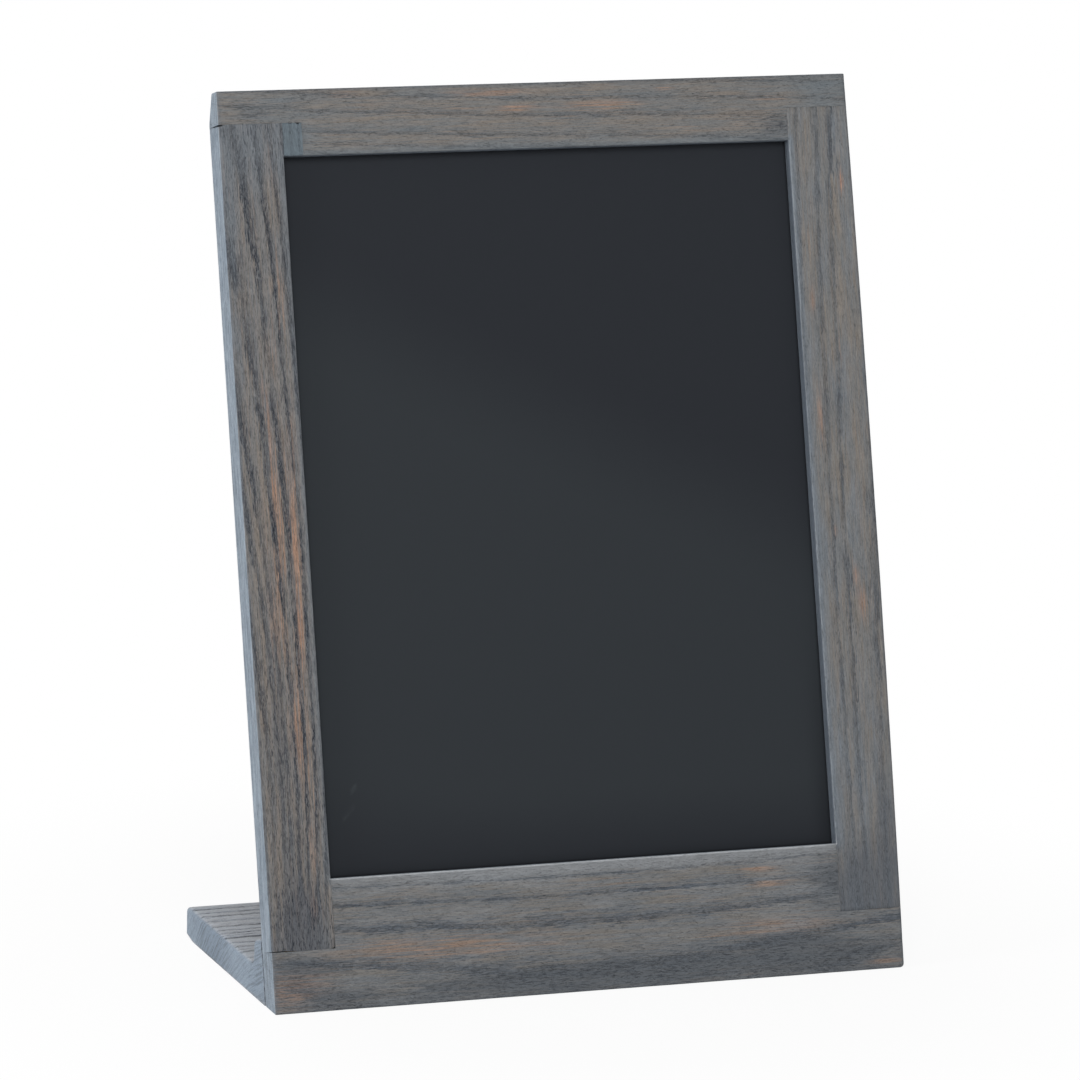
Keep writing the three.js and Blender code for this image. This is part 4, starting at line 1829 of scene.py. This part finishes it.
@dataclass(frozen=True)
class FootPlank:
    """The base: a plank with an upstand along its front edge, milled from one piece.

    Sizes are in mm, and the lean of its front is in radians. The seam's foot and the rear are places along y,
    and the middle is one along x. The rounds, the cove and the corner in plan are radii. The relief is cut
    under the rear edge. The seam stands open as far in from the ends as seam_depth says, and that is felt as
    far behind it as seam_closing says.
    """

    lean: float
    seam_foot: float
    rear: float
    middle: float
    width: float = 261.0
    thickness: float = 12.5
    upstand_height: float = 25.0
    upstand_thickness: float = 9.9
    upstand_round: float = 2.5
    cove: float = 3.5
    rear_round: float = 2.0
    relief_length: float = 9.0
    relief_rise: float = 1.6
    end_round: float = 2.0
    corner: float = 0.8
    arc_points: int = 7
    section_step: float = 1.1
    along_step: float = 2.4
    wall_rows: int = 10
    seam_depth: float = 16.0
    seam_closing: float = 3.0
    open_seam: tuple[OpenJoint, ...] = (OpenJoint(22.0, 9.0, 0.5), OpenJoint(2.0, 9.0, 0.6))

    @property
    def seam_top(self) -> float:
        """Where the leaning front of the upstand ends, along y."""
        return self.seam_foot + self.upstand_height * math.tan(self.lean)

    @property
    def upstand_rear(self) -> float:
        """Where the upright rear face of the upstand stands, along y."""
        return self.seam_top + self.upstand_thickness

    @property
    def cove_end(self) -> float:
        """Where the cove runs out on the plank, along y."""
        return self.upstand_rear + self.cove

    def arc(self, y: float, z: float, radius: float, start: float, end: float) -> list[tuple[float, float]]:
        """Points on a round stretch of the section, between two angles in degrees."""
        turns = np.radians(np.linspace(start, end, self.arc_points))
        return [(y + radius * math.cos(turn), z + radius * math.sin(turn)) for turn in turns]

    def upper_line(self) -> Array:
        """The upper side of the section, from the top of the seam to the rear.

        Returns:
            The y and z of its points, in even steps.
        """
        fall = (self.upstand_thickness - self.upstand_round) * math.tan(self.lean)
        round_y = self.upstand_rear - self.upstand_round
        round_z = self.upstand_height - fall - self.upstand_round / math.cos(self.lean)
        rear_y, rear_z = self.rear - self.rear_round, self.thickness - self.rear_round
        corners = [(self.seam_top, self.upstand_height)]
        corners += self.arc(round_y, round_z, self.upstand_round, 90.0 - math.degrees(self.lean), 0.0)
        corners += self.arc(self.cove_end, self.thickness + self.cove, self.cove, 180.0, 270.0)
        corners += self.arc(rear_y, rear_z, self.rear_round, 90.0, 0.0)
        line = [np.array(corners[:1])]
        for start, end in zip(corners, corners[1:]):
            pieces = max(1, round(math.dist(start, end) / self.section_step))
            line.append(np.linspace(start, end, pieces + 1)[1:])
        return np.concatenate(line)

    def lower_line(self, upper: Array) -> Array:
        """The underside of the section.

        Args:
            upper: the y and z of the upper side's points.

        Returns:
            The y and z of one point for each of the upper side's.
        """
        walked = np.concatenate([[0.0], np.cumsum(np.hypot(*np.diff(upper, axis=0).T))])
        bend = int(np.argmax(upper[:, 0] >= self.cove_end - 1e-6))
        share = np.clip(walked / walked[bend], 0.0, 1.0)
        under_upstand = self.seam_foot + (self.cove_end - self.seam_foot) * share
        y = np.where(np.arange(len(upper)) < bend, under_upstand, upper[:, 0])
        rise = self.relief_rise * np.clip((y - self.rear + self.relief_length) / self.relief_length, 0.0, 1.0)
        return stacked(y, rise)

    def inward(self, upper: Array) -> Array:
        """Which way the section shrinks.

        Args:
            upper: the y and z of the upper side's points.

        Returns:
            The way at each of them, long enough to hold the sides at their distance.
        """
        step = np.diff(upper, axis=0)
        side = stacked(step[:, 1], -step[:, 0]) / np.hypot(*step.T)[:, None]
        before = np.concatenate([side[:1], side])
        after = np.concatenate([side, side[-1:]])
        return (after + before) / (1.0 + np.sum(after * before, axis=-1))[:, None]

    def plank(self, stock: Stock, screw_holes: Sequence[ScrewHole]) -> Piece:
        """The milled plank, with its upper end edges rounded over and holes for the screws.

        Args:
            stock: the wood that it is cut from.
            screw_holes: the countersunk holes through its upstand.

        Returns:
            The piece.
        """
        half = self.width / 2
        stops = [self.corner - half, half - self.corner]
        stops += edge_stops(-half, 1, self.end_round) + edge_stops(half, -1, self.end_round)
        across = ruled(stops, self.along_step)
        upper = self.upper_line()
        fall = eased(half - np.abs(across), self.end_round)[:, None]
        shrunk = upper + self.inward(upper) * fall[..., None]
        over_plank = upper[:, 0] > self.cove_end
        top_y = np.where(over_plank, upper[:, 0], shrunk[..., 0])
        top_z = np.where(over_plank, np.minimum(upper[:, 1], self.thickness - fall), shrunk[..., 1])
        x = np.broadcast_to(across[:, None], top_y.shape)
        bottom_y, bottom_z = (np.broadcast_to(line, top_y.shape) for line in self.lower_line(upper).T)
        cells = np.ones((len(across) - 1, len(upper) - 1), bool)
        plate = Plate(stacked(x, bottom_y, bottom_z), stacked(x, top_y, top_z), cells, self.wall_rows)
        places, faces = plate.mesh_data()
        shift = np.array([self.middle, 0.0, 0.0])
        piece = make_piece("base_plank_wood", self.settled(places) + shift, faces[:, ::-1])
        for hole in screw_holes:
            hole.cut(piece)
        self.note_grain(piece, stock, corner_places(piece) - shift)
        return piece

    def settled(self, places: Array) -> Array:
        """Rounds the rear corners in plan, and opens the seam behind the frame here and there at its ends.

        Args:
            places: the plank's corners as across, y and z, in mm.

        Returns:
            The moved corners.
        """
        x, y, z = places.T
        x, y = round_corners(x, y, self.width / 2, self.rear, self.corner)
        behind = y - self.seam_foot - z * math.tan(self.lean)
        near_end = smooth(1.0 - (self.width / 2 - np.abs(x)) / self.seam_depth)
        drawn = opened(self.open_seam, z) * near_end * smooth(1.0 - behind / self.seam_closing)
        return stacked(x, y + drawn, z)

    def note_grain(self, piece: Piece, stock: Stock, places: Array) -> None:
        """Notes the grain, rings, rubbing and edges on the plank's corners, and sinks its pores.

        Args:
            piece: the plank.
            stock: the wood that it is cut from.
            places: its corners as across, y and z, in mm.
        """
        x, _, z = places.T
        end = cut_square(corner_normals(piece)[:, 0])
        gap = self.width / 2 - np.abs(x)
        rounded = (1.0 - end) * smooth(1.0 - gap / (self.end_round * 1.2)) * (z > self.relief_rise)
        note(piece, "wall", np.clip(0.35 + 0.3 * rounded + 0.6 * end, 0.0, 1.0))
        note(piece, "margin", 0.8 * rounded)
        note(piece, "end_grain", end)
        for unused in ("outline", "arris_lit", "inner"):
            note(piece, unused, np.zeros_like(gap))
        stock.note_on(piece, places, np.ones_like(gap))


@dataclass(frozen=True)
class Hardware:
    """What holds the board together out of sight: dowels, glazing points, screws and the backer.

    Attributes:
        nodes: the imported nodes, by name.
        lean: how far the board leans back from upright, in radians.
    """

    nodes: dict[str, Piece]
    lean: float

    def dress_all(self) -> None:
        """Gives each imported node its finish."""
        upright = (-self.lean, 0.0, 0.0)
        finishes = {
            "dowel": BareBeech("bare_beech", upright).material(),
            "backer": BrownHardboard("brown_hardboard", upright).material(),
            "glazing": ZincSteel("glazing_point_steel").material(),
            "base_screw": ZincSteel("screw_steel", metal=0.55).material(),
        }
        for name, node in sorted(self.nodes.items()):
            for start, finish in finishes.items():
                if name.startswith(start):
                    node.data.materials.clear()
                    node.data.materials.append(finish)
                    log.info("%s: as packed, in %s", name, finish.name)


@dataclass(frozen=True)
class Viewpoint:
    """Where the camera stands. Lengths in mm, angles in degrees.

    Attributes:
        target: the place that it looks at.
        azimuth: how far it stands round from straight in front, to the right.
        elevation: how far it stands above level.
        roll: how far it leans over.
        distance: how far it is from the target.
        focal_pixels: its focal length in pixels of the picture.
        picture: the width of the picture in pixels.
        sensor: the width of the camera's sensor.
        farthest: how far it sees, in metres.
    """

    target: tuple[float, float, float]
    azimuth: float
    elevation: float
    roll: float
    distance: float
    focal_pixels: float
    picture: int = 1080
    sensor: float = 36.0
    farthest: float = 50.0

    def place_camera(self) -> None:
        """Puts the camera in the scene."""
        azimuth, elevation = math.radians(self.azimuth), math.radians(self.elevation)
        level_part = math.cos(elevation)
        back = Vector((math.sin(azimuth) * level_part, -math.cos(azimuth) * level_part, math.sin(elevation)))
        level = Vector((0.0, 0.0, 1.0)).cross(back).normalized()
        turn = Matrix((level, back.cross(level), back)).transposed()
        turn = turn @ Matrix.Rotation(math.radians(self.roll), 3, "Z")
        data = bpy.data.cameras.new("camera")
        data.sensor_width = self.sensor
        data.lens = self.focal_pixels / self.picture * self.sensor
        data.clip_end = self.farthest
        camera = bpy.data.objects.new("camera", data)
        place = (Vector(self.target) + back * self.distance) * MM
        camera.matrix_world = Matrix.Translation(place) @ turn.to_4x4()
        bpy.context.scene.collection.objects.link(camera)
        bpy.context.scene.camera = camera


@dataclass(frozen=True)
class Lamp:
    """A round soft lamp aimed at the object. Lengths in metres.

    Attributes:
        name: the lamp's name.
        power: its power in watts.
        size: how wide it is.
        place: where it hangs.
        target: where it is aimed.
    """

    name: str
    power: float
    size: float
    place: tuple[float, float, float]
    target: tuple[float, float, float] = (0.0, 0.0, 0.17)

    def hang(self) -> None:
        """Puts the lamp in the scene."""
        data = bpy.data.lights.new(self.name, "AREA")
        data.shape = "DISK"
        data.size = self.size
        data.energy = self.power
        lamp = bpy.data.objects.new(self.name, data)
        lamp.location = self.place
        aim = Vector(self.target) - Vector(self.place)
        lamp.rotation_euler = aim.to_track_quat("-Z", "Y").to_euler()
        bpy.context.scene.collection.objects.link(lamp)


@dataclass(frozen=True)
class Studio:
    """A plain pale floor, a white surround, and soft light.

    Lengths are in metres. The floor keeps a share of the object's shade within shaded_reach, and all of that
    share within the first full_reach of it. The surround is dim in front and bright behind, with a soft
    change between front_end and rear_start, which lie between -1 in front and 1 behind. In mirror
    reflections its front is as bright as front_gloss, and its rear is white.
    """

    floor_half: float = 4.0
    floor_tone: float = 0.85
    floor_share: float = 0.09
    shaded_reach: float = 0.34
    full_reach: float = 0.4
    front_light: float = 0.26
    rear_light: float = 0.70
    front_gloss: float = 0.25
    front_end: float = -0.25
    rear_start: float = 0.45
    lamps: tuple[Lamp, ...] = (
        Lamp("key", 46.0, 1.6, (-0.75, -2.1, 1.9)),
        Lamp("side", 26.0, 1.2, (-2.3, -0.2, 0.9)),
    )

    def light(self) -> None:
        """Sets the floor, the surround and the lamps."""
        bpy.context.scene.view_settings.view_transform = "Standard"
        self.floor()
        self.surround()
        for lamp in self.lamps:
            lamp.hang()

    def seen(self, bench: NodeBench, *kinds: str) -> Socket:
        """Tells rays of some kinds from all others.

        Args:
            bench: where the nodes are laid out.
            kinds: the kinds of ray, as Blender names them.

        Returns:
            1 for rays of any of these kinds, and 0 for others.
        """
        path = bench.add("LightPath")
        found, *others = (path.outputs[f"Is {kind} Ray"] for kind in kinds)
        for other in others:
            found = bench.maths("MAXIMUM", found, other)
        return found

    def floor(self) -> None:
        """Lays the wide pale floor."""
        half = self.floor_half
        corners = [(-half, -half, 0), (half, -half, 0), (half, half, 0), (-half, half, 0)]
        mesh = bpy.data.meshes.new("floor")
        mesh.from_pydata(corners, [], [(0, 1, 2, 3)])
        mesh.materials.append(self.floor_finish())
        floor = bpy.data.objects.new("floor", mesh)
        bpy.context.scene.collection.objects.link(floor)

    def floor_finish(self) -> Material:
        """A finish that keeps the object's shadow near it, and is plain white further off.

        Returns:
            The material.
        """
        material = bpy.data.materials.new("pale_floor")
        material.use_nodes = True
        bench = NodeBench(material.node_tree)
        place = bench.add("TexCoord").outputs["Object"]
        far = bench.add("VectorMath", place, operation="LENGTH").outputs["Value"]
        near_end = self.shaded_reach * self.full_reach
        white = bench.remap(far, near_end, self.shaded_reach, 1.0 - self.floor_share)
        share = bench.times(self.seen(bench, "Camera", "Glossy", "Transmission"), white)
        matte = bench.add("BsdfDiffuse", (self.floor_tone,) * 3 + (1.0,)).outputs[0]
        glow = bench.add("Emission", WHITE).outputs[0]
        bench.add("OutputMaterial", bench.add("MixShader", share, matte, glow).outputs[0])
        return material

    def surround(self) -> None:
        """White to the eye on every side. It lights the object from behind more than from in front."""
        world = bpy.data.worlds.new("studio")
        bpy.context.scene.world = world
        world.use_nodes = True
        bench = NodeBench(world.node_tree)
        rearward = bench.add("SeparateXYZ", bench.add("TexCoord").outputs["Generated"]).outputs["Y"]
        lit = bench.remap(rearward, self.front_end, self.rear_start, self.front_light, self.rear_light)
        mirrored = bench.remap(rearward, self.front_end, self.rear_start, self.front_gloss, 1.0)
        strength = bench.between(self.seen(bench, "Glossy"), lit, mirrored)
        strength = bench.between(self.seen(bench, "Camera", "Transmission"), strength, 1.0)
        bench.add("OutputWorld", bench.add("Background", WHITE, strength).outputs[0])


LEAN = math.radians(15.0)
FOOTPRINT = 118.5
SHEET_CLEARANCE = 0.8
SCREWS = (1, 2, 3)

LEFT_STILE = Stock(
    GrainRun.UP,
    GrowthRings(
        (
            Ring(27.2, 1.4, 0.8), Ring(29.3, 1.4, 0.9), Ring(32.4, 1.5, 1.0), Ring(35.6, 1.5, 1.0),
            Ring(39.2, 1.4, 0.9),
        ),
        width=3.3, middle=180.0, pith_across=(-139.5, 5.0, -1.2), pith_depth=(25.0, 8.5, -1.2), seed=31,
    ),
    rubbed=(
        Patch(332.0, -110.0, 14.0, 2.5, 0.4), Patch(200.0, -110.8, 30.0, 2.6, 0.7),
        Patch(150.0, -111.0, 30.0, 2.6, 0.85), Patch(192.0, -117.5, 36.0, 2.6, 0.7),
        Patch(150.0, -121.5, 26.0, 2.6, 0.35), Patch(108.0, -114.5, 22.0, 3.4, 0.7),
        Patch(65.0, -111.0, 13.0, 2.2, 0.6), Patch(39.0, -113.0, 7.0, 4.5, 0.5),
    ),
    pooled=(
        Patch(45.0, -117.0, 45.0, 9.0, 0.4), Patch(110.0, -122.0, 60.0, 7.0, 0.5),
        Patch(28.0, -118.0, 26.0, 18.0, 0.75), Patch(343.0, -117.0, 9.0, 12.0, 0.35),
    ),
    veiled=(
        Patch(300.0, -128.0, 60.0, 3.0, 0.6), Patch(28.0, -108.0, 16.0, 3.0, 0.5),
        Patch(342.0, -120.0, 30.0, 22.0, 0.9), Patch(26.0, -117.0, 6.0, 14.0, 0.3),
        Patch(265.0, -118.0, 50.0, 14.0, 0.32),
    ),
)
LEFT_STILE_STAIN = StainedWood(
    "left_stile_stain", late=colour(111, 112, 113), brown=colour(133, 119, 105), bare=colour(150, 122, 104),
    glow=colour(170, 131, 107), pore=colour(44, 49, 58), veil=colour(107, 113, 119), pool=colour(79, 83, 90),
    shift=3.0, band=1.0, bareness=0.3, haze=0.1, fibre=1.1, grit=0.6, flecks=0.55, dash=1.1, thread=0.65,
)
LEFT_STILE_JOINTS = OpenJoints(
    top=(OpenJoint(-130.5, 2.8, 0.65),),
    bottom=(OpenJoint(-127.0, 9.0, 0.3), OpenJoint(-105.0, 1.6, 0.5)),
    side=(OpenJoint(25.0, 4.0, 0.3),),
)

RIGHT_STILE = Stock(
    GrainRun.UP,
    GrowthRings(
        (Ring(26.6, 1.6, 0.9), Ring(33.4, 1.5, 1.0), Ring(36.9, 1.5, 0.9), Ring(42.8, 1.5, 0.5)),
        width=4.5, middle=180.0, pith_across=(140.5, -1.1, 1.4), pith_depth=(25.0, 2.9, -0.6), seed=32,
    ),
    rubbed=(
        Patch(313.0, 125.5, 5.0, 1.2, 0.9), Patch(267.0, 110.4, 7.0, 1.2, 0.7),
        Patch(222.0, 110.4, 13.0, 1.2, 0.7), Patch(157.0, 120.3, 5.0, 1.2, 0.5),
        Patch(145.0, 122.4, 9.0, 2.0, 0.5), Patch(174.0, 113.0, 3.0, 1.2, 0.8),
    ),
    pooled=(Patch(60.0, 126.0, 45.0, 6.0, 0.5), Patch(24.0, 115.0, 36.0, 20.0, 1.3)),
    veiled=(Patch(60.0, 112.0, 60.0, 9.0, 0.35),),
)
RIGHT_STILE_STAIN = StainedWood(
    "right_stile_stain", late=colour(110, 113, 115), brown=colour(127, 118, 108), pool=colour(86, 91, 98),
    shift=41.0, band=0.65, brownness=0.5, bareness=0.15, haze=0.25, flecks=0.2, pool_flecks=0.2, wash=0.75,
    dash=0.65,
)

TOP_RAIL = Stock(
    GrainRun.ACROSS,
    GrowthRings(
        (
            Ring(58.5, 1.2, 0.5), Ring(62.3, 1.2, 0.6), Ring(66.7, 1.3, 0.9), Ring(74.6, 1.3, 1.0),
            Ring(81.0, 1.3, 0.8),
        ),
        width=6.0, middle=0.0, pith_across=(270.6, 0.3, 4.2), pith_depth=(20.0, 11.3, 6.1), seed=33,
    ),
    rubbed=(
        Patch(-79.5, 353.4, 8.0, 1.5, 0.5), Patch(-20.0, 352.3, 22.0, 1.8, 0.6),
        Patch(-9.0, 346.0, 10.0, 1.5, 0.6), Patch(26.0, 346.8, 26.0, 1.8, 0.35),
        Patch(52.6, 352.0, 6.0, 1.2, 0.5), Patch(98.0, 346.8, 9.0, 1.2, 0.35),
    ),
    pooled=(
        Patch(101.0, 336.0, 14.0, 6.0, 0.65), Patch(-116.0, 347.0, 16.0, 5.0, 0.4),
        Patch(-84.0, 353.0, 40.0, 5.0, 0.25),
    ),
    veiled=(
        Patch(-104.0, 338.0, 12.0, 9.0, 0.9), Patch(120.0, 350.0, 24.0, 10.0, 0.75),
        Patch(-112.0, 351.0, 16.0, 8.0, 0.4),
    ),
)
TOP_RAIL_STAIN = StainedWood(
    "top_rail_stain", late=colour(109, 112, 114), brown=colour(128, 118, 108), glow=colour(162, 132, 110),
    veil=colour(105, 112, 117), shift=67.0, band=0.55, brownness=0.48, bareness=0.15, haze=0.2, fibre=0.6,
    wash=0.5, dash=0.6, flecks=0.25,
)

BOTTOM_RAIL = Stock(
    GrainRun.ACROSS,
    GrowthRings(
        (Ring(29.8, 2.2, 0.9), Ring(39.7, 2.4, 0.9), Ring(47.6, 1.3, 1.0), Ring(53.9, 1.0, 0.8)),
        width=6.0, middle=0.0, pith_across=(0.1, -0.6, -1.5), pith_depth=(30.0, -0.4, -5.1), seed=34,
    ),
    rubbed=(
        Patch(-60.0, 21.5, 60.0, 4.5, 0.45), Patch(-122.0, 9.0, 16.0, 8.0, 0.9),
        Patch(72.0, 43.4, 9.0, 1.2, 0.6), Patch(76.5, 37.0, 12.0, 1.5, 0.7),
        Patch(77.6, 19.5, 30.0, 4.5, 0.5), Patch(122.0, 3.5, 10.0, 2.0, 0.5),
    ),
    pooled=(
        Patch(0.0, 3.0, 150.0, 9.0, 0.75), Patch(-30.0, 8.0, 50.0, 6.0, 0.5),
        Patch(32.0, 8.0, 45.0, 6.0, 0.6), Patch(82.0, 14.0, 18.0, 3.5, 0.8),
        Patch(96.0, 9.0, 40.0, 8.0, 0.9), Patch(102.0, 36.0, 15.0, 13.0, 0.95),
        Patch(-119.0, 17.0, 22.0, 7.0, 0.9), Patch(-112.0, 5.0, 28.0, 6.0, 0.4),
    ),
    veiled=(Patch(0.0, 48.0, 140.0, 3.5, 0.9), Patch(95.0, 36.0, 30.0, 12.0, 0.5)),
)
BOTTOM_RAIL_STAIN = StainedWood(
    "bottom_rail_stain", late=colour(106, 111, 116), brown=colour(123, 115, 105), bare=colour(141, 119, 104),
    glow=colour(158, 127, 107), early=colour(74, 85, 99), veil=colour(131, 134, 137), pool=colour(83, 88, 94),
    shift=93.0, band=0.85, bareness=0.15, haze=0.12, fibre=0.8, wash=0.7, dash=0.6, flecks=0.25,
    pool_flecks=0.45,
)

JOINT_INFILL = Stock(
    GrainRun.UP,
    GrowthRings((Ring(14.0, 0.6, 0.8),), 1.9, 336.0, (-110.0, 0.0, 0.0), (14.0, 0.0, 0.0), seed=35),
    veiled=(Patch(336.0, -101.0, 10.0, 8.0, 0.8),),
)
INFILL_STAIN = StainedWood(
    "infill_stain", veil=colour(96, 108, 116), shift=121.0, band=0.8, brownness=0.2, bareness=0.0, haze=0.7,
)
INFILL_JOINTS = OpenJoints(top=(OpenJoint(-98.6, 1.3, 0.5), OpenJoint(-101.5, 0.9, 0.3)))

BASE_PLANK = Stock(
    GrainRun.ACROSS,
    GrowthRings(
        (
            Ring(134.0, 0.9, 0.6), Ring(136.2, 0.6, 0.5), Ring(138.6, 1.5, 1.0), Ring(142.4, 0.7, 0.6),
            Ring(146.8, 1.1, 0.8), Ring(148.9, 0.5, 0.5), Ring(150.8, 0.8, 0.7), Ring(154.4, 0.7, 0.6),
            Ring(158.2, 1.6, 1.0), Ring(160.9, 0.5, 0.5), Ring(163.0, 1.0, 0.7), Ring(166.7, 0.6, 0.6),
            Ring(170.5, 1.4, 0.9), Ring(175.4, 0.7, 0.6), Ring(180.5, 1.2, 0.8),
        ),
        width=4.0, middle=0.0, pith_across=(-90.0, 1.5, 0.4), pith_depth=(-110.0, 0.6, 0.0), wander=1.6,
        seed=36,
    ),
    ends=EndGrain.RINGS,
    rubbed=(
        Patch(-60.0, 20.0, 50.0, 4.0, 0.5), Patch(40.0, 44.0, 60.0, 3.0, 0.6),
        Patch(90.0, 8.0, 30.0, 3.0, 0.5),
    ),
    pooled=(
        Patch(-130.5, 24.0, 1.0, 30.0, 0.8), Patch(-130.5, -36.0, 1.0, 24.0, 0.45),
        Patch(130.5, 30.0, 1.0, 34.0, 0.6),
    ),
)
BASE_STAIN = StainedWood(
    "base_stain", late=colour(159, 166, 175), brown=colour(162, 162, 162), bare=colour(162, 155, 147),
    early=colour(114, 122, 132), veil=colour(162, 170, 180), wall=colour(134, 149, 164),
    wall_streak=colour(112, 127, 144), shift=151.0, band=0.9, brownness=0.35, bareness=0.1, haze=0.35,
    fibre=0.7, flecks=0.3, wash=0.42, dash=1.3, end_bands=0.15, stroke=0.13, pool_stroke=0.32,
    stroke_pitch=0.86,
)


def screw_holes(rear: float) -> list[ScrewHole]:
    """The hole of each packed screw, through an upstand whose rear face stands at a place along y in mm."""
    middles = [sum(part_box(f"base_screw_{number}"), Vector()) / 2 / MM for number in SCREWS]
    return [ScrewHole((middle.x, rear, middle.z)) for middle in middles]


def main() -> None:
    """Builds each sub-assembly in order, and dresses it."""
    logging.basicConfig(level=logging.INFO, format="%(name)s %(message)s")
    _, base_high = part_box("base_plank")
    sheet_low, sheet_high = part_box("writing_sheet")
    rear = base_high.y / MM
    middle = (sheet_low.x + sheet_high.x) / 2 / MM
    board = BoardPlace(lean=LEAN, front_foot=rear - FOOTPRINT, middle=middle)

    leaning = LeaningFrame(board)
    left = leaning.stile(Side.LEFT, LEFT_STILE, LEFT_STILE_JOINTS)
    members = (
        (left, LEFT_STILE_STAIN, "frame_wood", "left_stile"),
        (leaning.stile(Side.RIGHT, RIGHT_STILE), RIGHT_STILE_STAIN, "frame_wood", "right_stile"),
        (leaning.top_rail(TOP_RAIL), TOP_RAIL_STAIN, "frame_wood", "top_rail"),
        (leaning.bottom_rail(BOTTOM_RAIL), BOTTOM_RAIL_STAIN, "frame_wood", "bottom_rail"),
        (leaning.infill(JOINT_INFILL, INFILL_JOINTS), INFILL_STAIN, "infill_wood", "joint_infill"),
    )
    for piece, stain, slot, node in members:
        dress(piece, stain.material(), slot, node)

    panel = WritingPanel(
        board,
        half_width=leaning.rabbet_half - SHEET_CLEARANCE,
        low=leaning.rabbet_low + SHEET_CLEARANCE,
        high=leaning.rabbet_high - SHEET_CLEARANCE,
        front=leaning.front_layer + GAP,
    )
    dress(panel.sheet(), CharcoalCoat().material(), "writing_surface", "writing_sheet")

    seam = board.front_foot + (leaning.thickness + GAP) / math.cos(LEAN)
    base = FootPlank(LEAN, seam_foot=seam, rear=rear, middle=middle)
    plank = base.plank(BASE_PLANK, screw_holes(base.upstand_rear))
    dress(plank, BASE_STAIN.material(), "base_wood", "base_plank")

    Hardware(frame["nodes"], LEAN).dress_all()
    Studio().light()
    viewpoint = Viewpoint(
        target=(-9.60, -9.35, 169.8), azimuth=-19.98, elevation=11.99, roll=1.30, distance=2656.5,
        focal_pixels=6800.9,
    )
    viewpoint.place_camera()


if __name__ == "__main__":
    main()
